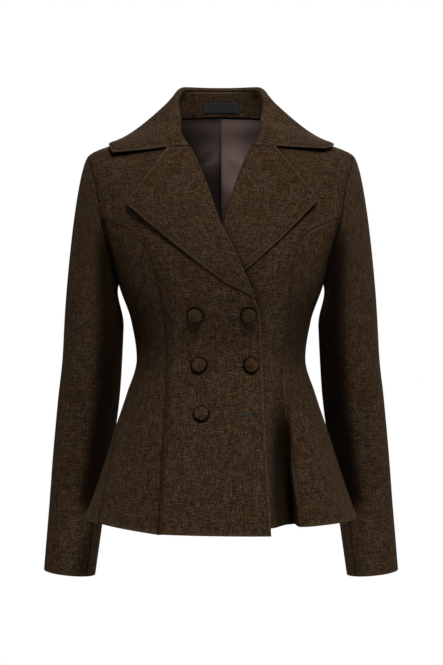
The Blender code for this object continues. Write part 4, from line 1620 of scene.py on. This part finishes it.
@dataclass
class Lining:
    """The back lining, pleated at the centre, with the left half laid over the right."""

    form: GarmentForm
    body: Body
    columns: int = 34
    hem_place: float = 1 / 18
    hem_margin: float = 0.004
    underlap: float = 1 / 6
    underlap_columns: int = 6
    pleat_stand: float = 7.0
    pleat_share: float = 0.45
    pleat_start: float = 60.0
    pleat_ease: tuple = (1, 1, 1, 0.5, 0, 0, 0)
    # Painted shade: the whole right half, a wedge beside the pleat, a band along the lapel's edge, the
    # low part and the rows under the stand.
    shade_least: float = 0.42
    wedge_width: float = 9.0
    wedge_least: float = 0.3
    wedge_length: float = 130.0
    low_shade: float = 0.95
    low_start: float = 45.0
    low_reach: float = 120.0
    top_shade: float = 0.6
    top_reach: float = 5.0
    top_offsets: tuple = (0.03, 0.006, 0.0)
    edge_shade: float = 0.6
    edge_reach: float = 11.0
    edge_start: tuple = (-59.0, 6.0)
    edge_end: tuple = (-2.0, -145.0)

    def __post_init__(self) -> None:
        """Makes the curve of the pleat's ease across a half."""
        last = len(self.pleat_ease) - 1
        self.ease = Curve([k / last for k in range(last + 1)], self.pleat_ease)

    def shade(self, side: Side, face: Array) -> Array:
        """How much painted shade lies on each point of a half.

        Args:
            side: The wearer's side.
            face: The half's points.

        Returns:
            Shares: more at the neck seam and far down, and on the right half along the pleat and lapel.
        """
        across, height = face[..., 0], face[..., 2]
        shade = self.low_shade * smoothstep((-height - self.low_start) / self.low_reach)
        shade = shade + self.top_shade * np.exp((height - height[-1:]) / self.top_reach)
        if side is Side.LEFT:
            return shade
        (x, z), (end_x, end_z) = self.edge_start, self.edge_end
        run, rise = end_x - x, end_z - z
        off = np.abs((across - x) * rise - (height - z) * run) / math.hypot(run, rise)
        lapel = self.edge_shade * np.exp(-off / self.edge_reach)
        widening = smoothstep(-height / self.wedge_length)
        width = self.wedge_width * (self.wedge_least + widening)
        wedge = widening * np.exp(-np.maximum(-across, 0) / width)
        return shade + self.shade_least + (lapel + wedge) * smoothstep(-height / self.low_start)

    def shell(self, side: Side) -> Shell:
        """One half of the lining, whose face looks into the blazer."""
        rows = self.body.row_places(3)
        rows = np.concatenate(([self.hem_place], rows[rows > self.hem_place + self.hem_margin]))
        rows = np.concatenate((rows[:-1], rows[-1] - np.array(self.top_offsets)))
        shares = np.broadcast_to(np.linspace(0, 1, self.columns), (len(rows), self.columns))
        angle, height = self.body.centre_places(side, False, rows, shares)
        stand = self.pleat_stand * (1 - smoothstep(shares / self.pleat_share))
        stand = stand * smoothstep(-height / self.pleat_start)
        extra = self.ease(shares) * (LINING_CLOTH + LAYER_GAP) + stand
        if side is Side.RIGHT:
            lap = np.linspace(self.underlap, 0, self.underlap_columns + 1)[:-1]
            lap = np.broadcast_to(lap, (len(rows), self.underlap_columns))
            lap_angle, lap_height = self.body.centre_places(Side.LEFT, False, rows, lap)
            angle = np.concatenate((lap_angle - FULL_TURN, angle), axis=1)
            height = np.concatenate((lap_height, height), axis=1)
            extra = np.zeros(angle.shape)
        billow = crease_depth(wrapped(angle), height, LINING_BILLOWS, FORM_ARC)
        lift = -CLOTH - LAYER_GAP - LINING_CLOTH - extra - billow
        edges = {**ALL_SEAMS, GridSide.FIRST_ROW: Edge.FREE, GridSide.FIRST_COLUMN: Edge.FREE}
        folds = FOLDS[side]
        face = self.form.point(angle, height, lift, folds)
        return Shell(
            name=f"cloth_lining_back_{side.word}",
            face=face,
            normals=-self.form.normal(angle, height, folds),
            thickness=LINING_CLOTH,
            edges=edges,
            depth=PROFILE.fold_reach * self.shade(side, face),
        )

    def build(self, satin: Material) -> None:
        """Builds and dresses both halves."""
        for side in Side:
            Piece(self.shell(side), "satin_lining", "hung").dress(satin)


class ButtonRow(NamedTuple):
    """One row of buttons: its height, its two places across, and how far off the cloth it sits."""

    height: float
    outer: float
    edge: Optional[float]
    shank: float


BUTTON_ROWS = (
    ButtonRow(-279.5, -34, 36.5, 1.1),
    ButtonRow(-353, -30, 41, 1.2),
    ButtonRow(-421, -27, None, 0.4),
)


# A covered button's profile, from the middle of its back to its crown. Its wide thin foot, darkened by
# painted shade, stands for the button's contact shadow on the cloth.
BUTTON_RADII = (0.0, 11.6, 11.9, 11.6, 9.7, 10.0, 10.1, 9.9, 9.1, 7.9, 5.9, 3.2, 0.0)
BUTTON_HEIGHTS = (0.0, 0.0, 0.2, 0.4, 0.7, 1.7, 2.8, 4.2, 5.4, 6.1, 6.6, 6.9, 7.0)


@dataclass
class Buttons:
    """Domed buttons covered in the cloth, which is gathered under their rims."""

    form: GarmentForm
    segments: int = 64
    rings: int = 40
    gathers: int = 18
    slow_gathers: int = 7
    slow_share: float = 0.5
    gather_depth: float = 0.28
    gather_top: float = 3.4
    gather_radius: float = 11.0
    smooth_radius: float = 4.0
    shade_top: float = 1.6
    shade_fade: float = 0.8
    grain_shift: float = 37.0

    def place(self, x: float, height: float, lift: float) -> tuple[Array, Array]:
        """The point and normal of the right front's face at a place, with a lift off it."""
        height = np.float64(height)
        angle = self.form.front_angle(np.float64(x), height)
        lap = self.form.lap_lift(Side.RIGHT, angle, height)
        return self.form.point(angle, height, lap + lift), self.form.normal(angle, height)

    def button(self, name: str, point: Array, normal: Array, number: int) -> Object:
        """One covered button.

        Args:
            name: The piece's name.
            point: The middle of its back.
            normal: The way its face looks.
            number: Which button it is, so that no two have the same cloth.

        Returns:
            The piece.
        """
        bpy.ops.object.select_all(action="DESELECT")
        bpy.ops.mesh.primitive_uv_sphere_add(segments=self.segments, ring_count=self.rings, radius=1.0)
        made = bpy.context.object
        made.name = made.data.name = name
        ball = np.array([vertex.co for vertex in made.data.vertices])
        profile = np.array((BUTTON_RADII, BUTTON_HEIGHTS))
        along = running_length(profile.T[None], 1)[0]
        share = np.arccos(np.clip(-ball[:, 2], -1, 1)) / math.pi * along[-1]
        radius, height = (np.interp(share, along, values) for values in profile)
        turn = np.arctan2(ball[:, 1], ball[:, 0])
        near_rim = smoothstep((self.gather_top - height) / self.gather_top)
        near_rim = near_rim * (radius / self.gather_radius) ** 2 * (radius > self.smooth_radius)
        slow_wave = self.slow_share * np.cos(self.slow_gathers * turn + 2 * number)
        wave = np.cos(self.gathers * turn + number) + slow_wave
        radius = radius + self.gather_depth * near_rim * wave
        local = np.stack((radius * np.cos(turn), radius * np.sin(turn), height), axis=-1)
        toward = Vector(normal).to_track_quat("Z", "Y").to_matrix()
        points = local @ np.array(toward).T + point
        made.data.vertices.foreach_set("co", (points * MM).ravel())
        shift = self.grain_shift * number
        lay_grain(made.data, local[:, :2] + np.array((shift, 2 * shift)))
        # Painted shade: the foot and flange under the rim darken, standing for the button's contact
        # shadow.
        shade = smoothstep((self.shade_top - height) / self.shade_fade)
        mark_points(made.data, "fold_shade", shade)
        made.data.update()
        bpy.ops.object.shade_smooth()
        return made

    def build(self, tweed: Material) -> None:
        """Builds every button of the three rows."""
        number = 0
        for row_number, row in enumerate(BUTTON_ROWS, 1):
            for column in ("outer", "edge"):
                x = getattr(row, column)
                if x is None:
                    continue
                number += 1
                point, normal = self.place(x, row.height, row.shank)
                made = self.button(f"covered_button_{column}_{row_number}", point, normal, number)
                made.data.materials.append(tweed)
                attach(made, "root")
                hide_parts(f"button_{column}_{row_number}")


@dataclass
class Buttonholes:
    """Keyhole buttonholes worked in thread on the right front, from the edge towards the centre."""

    buttons: Buttons
    length: float = 19.0
    eye_radius: float = 1.5
    eye_turns: tuple = (-160, 161, 16)
    eye_offset: float = 1.0
    open_eye: float = 43.5
    bar_length: float = 1.9
    bar_pitch: float = 0.62
    bar_radius: float = 0.3
    bar_sides: int = 4
    bar_turns: tuple = (-150, 151, 20)
    bar_start: float = 0.6
    end_bars: tuple = (0.4, 1.0)
    slit_half_width: float = 0.22
    slit_start: float = 0.15
    slit_points: int = 9
    slit_faces: tuple = (0.05, -0.25)
    lift: float = 0.05

    def spot(self, x: float, height: float) -> tuple[Array, Array]:
        """A point just off the right front's face, and the normal there."""
        return self.buttons.place(x, height, self.lift)

    def round_eye(self, eye_x: float, height: float, turn: float, radius: float) -> tuple[float, float]:
        """A place on a circle round the middle of an eye."""
        return eye_x + radius * math.cos(turn), height + radius * math.sin(turn)

    def bars(self, sewing: Sewing, eye_x: float, height: float) -> None:
        """Adds the bars along one slit and round its eye."""
        near = self.slit_half_width * self.bar_start
        far = near + self.bar_length
        for x in np.arange(eye_x - self.length, eye_x - self.eye_radius, self.bar_pitch):
            for way in (-1, 1):
                start, up = self.spot(x, height + way * near)
                end, _ = self.spot(x, height + way * far)
                sewing.add_bar(start, end, up)
        for turn in np.radians(np.arange(*self.bar_turns)):
            start, up = self.spot(*self.round_eye(eye_x, height, turn, self.eye_radius))
            outer = self.round_eye(eye_x, height, turn, self.eye_radius + self.bar_length)
            sewing.add_bar(start, self.spot(*outer)[0], up)
        for past in self.end_bars:
            x = eye_x - self.length - past
            start, up = self.spot(x, height - far)
            sewing.add_bar(start, self.spot(x, height + far)[0], up)

    def slit(self, eye_x: float, height: float) -> list[tuple[Array, Array]]:
        """The slit's outline with its round eye, as points and normals."""
        outline = []
        for turn in np.radians(np.arange(*self.eye_turns)):
            outline.append(self.round_eye(eye_x, height, turn, self.eye_radius))
        run = np.linspace(self.slit_start, 1, self.slit_points)
        for way, shares in ((1, run), (-1, run[-2::-1])):
            for share in shares:
                half = self.slit_half_width * (1 - share**3)
                outline.append((eye_x - self.length * share, height + way * half))
        return [self.spot(x, z) for x, z in outline]

    def build(self, thread: Material, shadow: Material) -> list[Object]:
        """Builds the three buttonholes by the front edge, as a piece of bars and one of slits."""
        sewing = Sewing("buttonhole_bars", radius=self.bar_radius, sides=self.bar_sides)
        points, faces = [], []
        for row in BUTTON_ROWS:
            eye_x = self.open_eye if row.edge is None else row.edge + self.eye_offset
            self.bars(sewing, eye_x, row.height)
            outline = self.slit(eye_x, row.height)
            faces.extend(tube_faces(len(points), len(outline), len(self.slit_faces)))
            for depth in self.slit_faces:
                points.extend(tuple((point + normal * depth) * MM) for point, normal in outline)
        # The slits are a thin near-black sheet, standing for the shade inside each opening: painted
        # shadow.
        mesh = closed_mesh("buttonhole_slits", points, faces)
        mesh.materials.append(shadow)
        slits = place_in_scene("buttonhole_slits", mesh)
        return [sewing.build(thread), slits]


class Speckle(NamedTuple):
    """A noise that moves the tone of the yarns."""

    share: float
    scale: float
    detail: float


class Patches(NamedTuple):
    """Soft patches of a filter colour, where a noise lies between two values."""

    tint: tuple
    scale: float
    low: float
    high: float


@dataclass(frozen=True)
class TweedFinish:
    """A wool tweed: a two-and-two twill of mottled brown yarns, flecked with rust and tan."""

    name: str = "wool_tweed"
    yarns: tuple = (
        (0.00, (0.013, 0.0072, 0.0039)),
        (0.30, (0.024, 0.0145, 0.0083)),
        (0.55, (0.038, 0.0236, 0.0138)),
        (0.75, (0.053, 0.0325, 0.0185)),
        (0.86, (0.059, 0.0300, 0.0140)),
        (0.94, (0.070, 0.0472, 0.0280)),
        (1.00, (0.100, 0.0695, 0.0435)),
    )
    # Seam lines darken towards dark, and so do enclosed places as painted shade; folds and other marked
    # shade darken towards deepest as painted shade; free edges lighten towards the highlight tone as a
    # painted highlight.
    dark: tuple = (0.006, 0.0033, 0.0017)
    deepest: tuple = (0.0022, 0.0012, 0.0007)
    worn: tuple = (0.105, 0.070, 0.043)
    wear: float = 0.38
    shade: float = 0.9
    sunk: float = 0.96
    # Painted shade where ambient occlusion within the reach finds cloth close by, up to the given
    # share.
    nook: float = 0.88
    nook_reach: float = 0.04
    nook_samples: int = 8
    nook_open: float = 0.95
    nook_shut: float = 0.45
    pitch: float = 1.0
    repeat: float = 4.0
    last_over: float = 1.5
    slub_length: float = 6.0
    slub_seed: float = 0.5
    tone_seed: float = 0.25
    wander: float = 1.1
    wander_scale: float = 0.8
    wander_detail: float = 3.0
    speckles: tuple = (Speckle(0.16, 0.30, 3.0), Speckle(0.34, 3.5, 4.0))
    patches: tuple = (
        Patches((1.0, 0.92, 0.84), 0.025, 0.40, 0.62),
        Patches((0.92, 0.95, 0.88), 0.04, 0.45, 0.66),
    )
    bump_height: float = 0.0002
    roughness: float = 0.95
    specular: float = 0.015
    sheen: float = 0.05
    sheen_roughness: float = 0.5
    sheen_tint: tuple = (0.5, 0.34, 0.2)


@dataclass(frozen=True)
class PlainFinish:
    """A plain finish, with a fine weave where it has one."""

    name: str
    colour: tuple
    roughness: float
    sheen: float = 0.0
    weave_scale: float = 0.0
    bump_height: float = 0.0001
    anisotropy: float = 0.0
    specular: float = 0.1
    # How far the painted shade of the fold_shade mark darkens the colour.
    sunk: float = 0.0


TWEED = TweedFinish()
THREAD = PlainFinish("tweed_thread", (0.020, 0.012, 0.007), 0.9)
HOLE_THREAD = PlainFinish("buttonhole_thread", (0.062, 0.047, 0.035), 0.8)
SATIN = PlainFinish(
    "satin",
    (0.105, 0.070, 0.062),
    0.42,
    weave_scale=0.9,
    bump_height=0.00006,
    anisotropy=0.4,
    specular=0.25,
    sunk=0.9,
)
LABEL_BLACK = PlainFinish("woven_black", (0.016, 0.017, 0.016), 0.7, sheen=0.1, weave_scale=0.8)
SLIT_SHADOW = PlainFinish("slit_shadow", (0.004, 0.003, 0.002), 0.95)
FLOOR_WHITE = PlainFinish("pale_floor", (0.86, 0.86, 0.86), 0.8)


class NodeGraph:
    """A material's nodes, added and linked by name."""

    def __init__(self, name: str) -> None:
        """Starts a material with a principled shader."""
        self.material = bpy.data.materials.new(name)
        self.material.use_nodes = True
        self.tree = self.material.node_tree
        self.shader = self.tree.nodes["Principled BSDF"]

    def add(self, kind: str, **values: object) -> bpy.types.Node:
        """Adds a node.

        Args:
            kind: The node's type after the common prefix.
            values: Settings by name, or input values or sources by the input's name with
                underscores for spaces.

        Returns:
            The node.
        """
        node = self.tree.nodes.new("ShaderNode" + kind)
        for key, value in values.items():
            if hasattr(node, key):
                setattr(node, key, value)
                continue
            self.feed(node.inputs[key.replace("_", " ")], value)
        return node

    def feed(self, socket: Socket, value: object) -> None:
        """Gives a socket a constant, or links an output to it."""
        if isinstance(value, Socket):
            self.tree.links.new(value, socket)
        else:
            socket.default_value = value

    def mix(self, share: object, first: object, second: object) -> Socket:
        """A colour a share of the way from one colour to another."""
        node = self.tree.nodes.new("ShaderNodeMix")
        node.data_type = "RGBA"
        for index, value in ((0, share), (6, first), (7, second)):
            if isinstance(value, tuple):
                value = (*value, 1.0)
            self.feed(node.inputs[index], value)
        return node.outputs[2]

    def tint(self, share: object, colour: object, filter_colour: tuple) -> Socket:
        """A colour with a share of a filter laid over it."""
        made = self.mix(share, colour, filter_colour)
        made.node.blend_type = "MULTIPLY"
        return made

    def ramp(self, source: Socket, low: float, high: float, top: float = 1.0) -> Socket:
        """An eased share of a value between two others, up to a top share."""
        node = self.add("MapRange", interpolation_type="SMOOTHSTEP", Value=source)
        for key, value in (("From Min", low), ("From Max", high), ("To Max", top)):
            node.inputs[key].default_value = value
        return node.outputs[0]

    def maths(self, operation: str, first: object, second: object) -> Socket:
        """The result of one sum on two values."""
        node = self.add("Math", operation=operation)
        self.feed(node.inputs[0], first)
        self.feed(node.inputs[1], second)
        return node.outputs[0]

    def grain(self, scale: tuple) -> Socket:
        """The cloth's own coordinates in millimetres, scaled."""
        source = self.add("UVMap", uv_map="grain")
        node = self.add("Mapping", Vector=source.outputs[0])
        node.inputs["Scale"].default_value = tuple(value / MM for value in scale)
        return node.outputs[0]

    def chance(self, first: Socket, second: object) -> Socket:
        """A random share for each pair of whole numbers."""
        pair = self.add("CombineXYZ", X=first, Y=second)
        return self.add("TexWhiteNoise", noise_dimensions="2D", Vector=pair.outputs[0]).outputs[0]

    def palette(self, source: Socket, stops: tuple) -> Socket:
        """The colour at a share of the way through a row of colours."""
        node = self.add("ValToRGB", Fac=source)
        elements = node.color_ramp.elements
        for place, colour in stops[1:-1]:
            elements.new(place).color = (*colour, 1.0)
        elements[0].color, elements[-1].color = (*stops[0][1], 1.0), (*stops[-1][1], 1.0)
        return node.outputs[0]

    def noise(self, vector: Socket, scale: float, detail: float = 2.0) -> Socket:
        """A noise texture's value."""
        return self.add("TexNoise", Vector=vector, Scale=scale, Detail=detail).outputs[0]

    def mark(self, name: str) -> Socket:
        """A value that the mesh's points carry."""
        return self.add("Attribute", attribute_name=name).outputs["Fac"]

    def bump(self, height: Socket, distance: float) -> None:
        """Feeds a bump to the shader."""
        node = self.add("Bump", Height=height, Distance=distance)
        node.inputs["Strength"].default_value = 1.0
        self.feed(self.shader.inputs["Normal"], node.outputs[0])

    def surface(self, **values: object) -> Material:
        """Sets the shader's inputs by name and gives the material."""
        for key, value in values.items():
            if isinstance(value, tuple):
                value = (*value, 1.0)
            self.feed(self.shader.inputs[key.replace("_", " ")], value)
        return self.material


def twill(graph: NodeGraph, finish: TweedFinish) -> tuple[Socket, Socket]:
    """A two-and-two twill: the tone of the yarn on top at each place, and how it stands up.

    Args:
        graph: The material's nodes.
        finish: The tweed, with its yarns' pitch and the length of their slubs.

    Returns:
        The tone from 0 to 1, and the height from 0 to 1.
    """
    grain = graph.grain((1 / finish.pitch, 1 / finish.pitch, 1.0))
    noise = graph.noise(grain, finish.wander_scale, finish.wander_detail)
    wander = noise.node.outputs["Color"]
    bent = graph.add("VectorMath", operation="MULTIPLY_ADD")
    for socket, value in zip(bent.inputs, (wander, (finish.wander, finish.wander, 0.0), grain)):
        graph.feed(socket, value)
    place = graph.add("SeparateXYZ", Vector=bent.outputs[0])
    numbers, tones, heights = [], [], []
    for way in (0, 1):
        across, along = place.outputs[way], place.outputs[1 - way]
        number = graph.maths("FLOOR", across, 0.0)
        start = graph.chance(number, finish.slub_seed + way)
        shift = graph.maths("MULTIPLY", start, finish.slub_length)
        slub = graph.maths("DIVIDE", graph.maths("ADD", along, shift), finish.slub_length)
        slub = graph.maths("ADD", graph.maths("FLOOR", slub, 0.0), finish.tone_seed + way)
        tones.append(graph.chance(number, slub))
        off = graph.maths("SUBTRACT", graph.maths("FRACT", across, 0.0), 0.5)
        drop = graph.maths("MULTIPLY", graph.maths("MULTIPLY", off, off), 4.0)
        heights.append(graph.maths("SUBTRACT", 1.0, drop))
        numbers.append(number)
    turn = graph.maths("FLOORED_MODULO", graph.maths("ADD", *numbers), finish.repeat)
    on_top = graph.maths("LESS_THAN", turn, finish.last_over)
    shown = []
    for warp, weft in (tones, heights):
        change = graph.maths("MULTIPLY", on_top, graph.maths("SUBTRACT", warp, weft))
        shown.append(graph.maths("ADD", weft, change))
    return shown[0], shown[1]


def tweed_material(finish: TweedFinish) -> Material:
    """The tweed, drawn on the cloth's grain."""
    graph = NodeGraph(finish.name)
    grain = graph.grain((1.0, 1.0, 1.0))
    tone, height = twill(graph, finish)
    for speckle in finish.speckles:
        noise = graph.maths("SUBTRACT", graph.noise(grain, speckle.scale, speckle.detail), 0.5)
        tone = graph.maths("ADD", tone, graph.maths("MULTIPLY", noise, speckle.share))
    colour = graph.palette(tone, finish.yarns)
    for patches in finish.patches:
        share = graph.ramp(graph.noise(grain, patches.scale), patches.low, patches.high)
        colour = graph.tint(share, colour, patches.tint)
    # Painted light and shade: a painted highlight on free edges, darker seam lines, and painted shade
    # in folds and other marked places.
    for name, most, shade in (
        ("edge_highlight", finish.wear, finish.worn),
        ("seam_shade", finish.shade, finish.dark),
        ("fold_shade", finish.sunk, finish.deepest),
    ):
        colour = graph.mix(graph.maths("MULTIPLY", graph.mark(name), most), colour, shade)
    # Painted shade: darker where ambient occlusion finds cloth close by.
    nook = graph.add("AmbientOcclusion", samples=finish.nook_samples, Distance=finish.nook_reach)
    share = graph.ramp(nook.outputs["AO"], finish.nook_open, finish.nook_shut, finish.nook)
    colour = graph.mix(share, colour, finish.dark)
    graph.bump(height, finish.bump_height)
    return graph.surface(
        Base_Color=colour,
        Roughness=finish.roughness,
        Sheen_Weight=finish.sheen,
        Sheen_Roughness=finish.sheen_roughness,
        Sheen_Tint=finish.sheen_tint,
        Specular_IOR_Level=finish.specular,
    )


def plain_material(finish: PlainFinish) -> Material:
    """A plain finish, with its fine weave as a bump on the cloth's grain."""
    graph = NodeGraph(finish.name)
    if finish.weave_scale:
        wave = graph.add("TexWave", Vector=graph.grain((1.0, 1.0, 1.0)), Scale=finish.weave_scale)
        graph.bump(wave.outputs["Fac"], finish.bump_height)
    colour = finish.colour
    # Painted shade: darker where the fold_shade mark is.
    if finish.sunk:
        dark = tuple(value * (1 - finish.sunk) for value in colour)
        colour = graph.mix(graph.mark("fold_shade"), colour, dark)
    return graph.surface(
        Base_Color=colour,
        Roughness=finish.roughness,
        Sheen_Weight=finish.sheen,
        Anisotropic=finish.anisotropy,
        Specular_IOR_Level=finish.specular,
    )


class Light(NamedTuple):
    """A soft square light, or a round beam where it has a cone in degrees."""

    name: str
    place: tuple
    size: float
    power: float
    aim: tuple = (0.0, 0.0, -0.307)
    cone: float = 0.0


LIGHTS = (
    Light("key", (0.55, -2.45, 2.45), 0.9, 143),
    Light("left", (-2.4, -1.5, 1.0), 0.8, 5),
    Light("right", (2.4, -1.5, 1.0), 0.8, 9),
    Light("left_back", (-2.2, 2.1, 1.2), 1.2, 28),
    Light("right_back", (2.2, 2.1, 1.2), 1.2, 28),
    Light("behind", (0.3, 2.8, 1.4), 2.0, 90),
    Light("neck", (-0.5, -1.0, 0.7), 0.06, 70, (0.05, 0.075, -0.04), 6.5),
)


@dataclass
class Studio:
    """The camera, the lights, the white surround and the floor."""

    aim: tuple = (0.0007, 0.0, -0.307)
    distance: float = 2.8
    pixel: float = 0.00145
    tall: int = 665
    sensor: float = 36.0
    floor_height: float = -1.40
    floor_size: float = 5.0
    ambient: float = 0.02
    beam_softness: float = 0.9

    def camera(self) -> None:
        """A level camera in front, with the photograph's frame."""
        data = bpy.data.cameras.new("camera")
        data.sensor_fit, data.sensor_width = "AUTO", self.sensor
        data.lens = self.sensor * self.distance / (self.tall * self.pixel)
        made = bpy.data.objects.new("camera", data)
        made.location = (self.aim[0], -self.distance, self.aim[2])
        made.rotation_euler = (math.radians(QUARTER_TURN), 0, 0)
        bpy.context.scene.collection.objects.link(made)
        bpy.context.scene.camera = made

    def lights(self) -> None:
        """Soft lights round the blazer, and a beam into its neck."""
        for light in LIGHTS:
            data = bpy.data.lights.new(light.name, "SPOT" if light.cone else "AREA")
            data.energy = light.power
            if light.cone:
                data.spot_size = math.radians(light.cone)
                data.spot_blend = self.beam_softness
                data.shadow_soft_size = light.size
            else:
                data.shape, data.size = "SQUARE", light.size
            made = bpy.data.objects.new(light.name, data)
            made.location = light.place
            look = Vector(light.aim) - Vector(light.place)
            made.rotation_euler = look.to_track_quat("-Z", "Y").to_euler()
            bpy.context.scene.collection.objects.link(made)

    def surround(self) -> None:
        """A white backdrop to the camera that lights the scene more softly than it looks."""
        world = bpy.data.worlds.new("studio")
        world.use_nodes = True
        tree = world.node_tree
        ray = tree.nodes.new("ShaderNodeLightPath")
        strength = tree.nodes.new("ShaderNodeMapRange")
        strength.inputs["To Min"].default_value = self.ambient
        strength.inputs["To Max"].default_value = 1.0
        tree.links.new(ray.outputs["Is Camera Ray"], strength.inputs["Value"])
        back = tree.nodes["Background"]
        back.inputs["Color"].default_value = (1.0, 1.0, 1.0, 1.0)
        tree.links.new(strength.outputs[0], back.inputs["Strength"])
        bpy.context.scene.world = world

    def floor(self) -> None:
        """A plain pale floor well under the hem."""
        bpy.ops.object.select_all(action="DESELECT")
        bpy.ops.mesh.primitive_plane_add(size=self.floor_size, location=(0, 0, self.floor_height))
        made = bpy.context.object
        made.name = "floor"
        made.data.materials.append(plain_material(FLOOR_WHITE))

    def build(self) -> None:
        """Sets the stage and the view's plain transform."""
        self.camera()
        self.lights()
        self.surround()
        self.floor()
        bpy.context.scene.view_settings.view_transform = "Standard"


def main() -> None:
    """Builds the blazer's looks and its studio."""
    logging.basicConfig(level=logging.INFO, format="%(name)s: %(message)s")
    form = GarmentForm()
    tweed, thread = tweed_material(TWEED), plain_material(THREAD)
    satin, black = plain_material(SATIN), plain_material(LABEL_BLACK)
    buttons = Buttons(form)
    holes = Buttonholes(buttons).build(plain_material(HOLE_THREAD), plain_material(SLIT_SHADOW))
    body = Body(form)
    body.build(tweed, thread, holes)
    Lapels(form).build(tweed, thread)
    Collar(form).build(tweed, thread, black)
    Sleeves(form).build(tweed)
    Lining(form, body).build(satin)
    buttons.build(tweed)
    Studio().build()


if __name__ == "__main__":
    main()
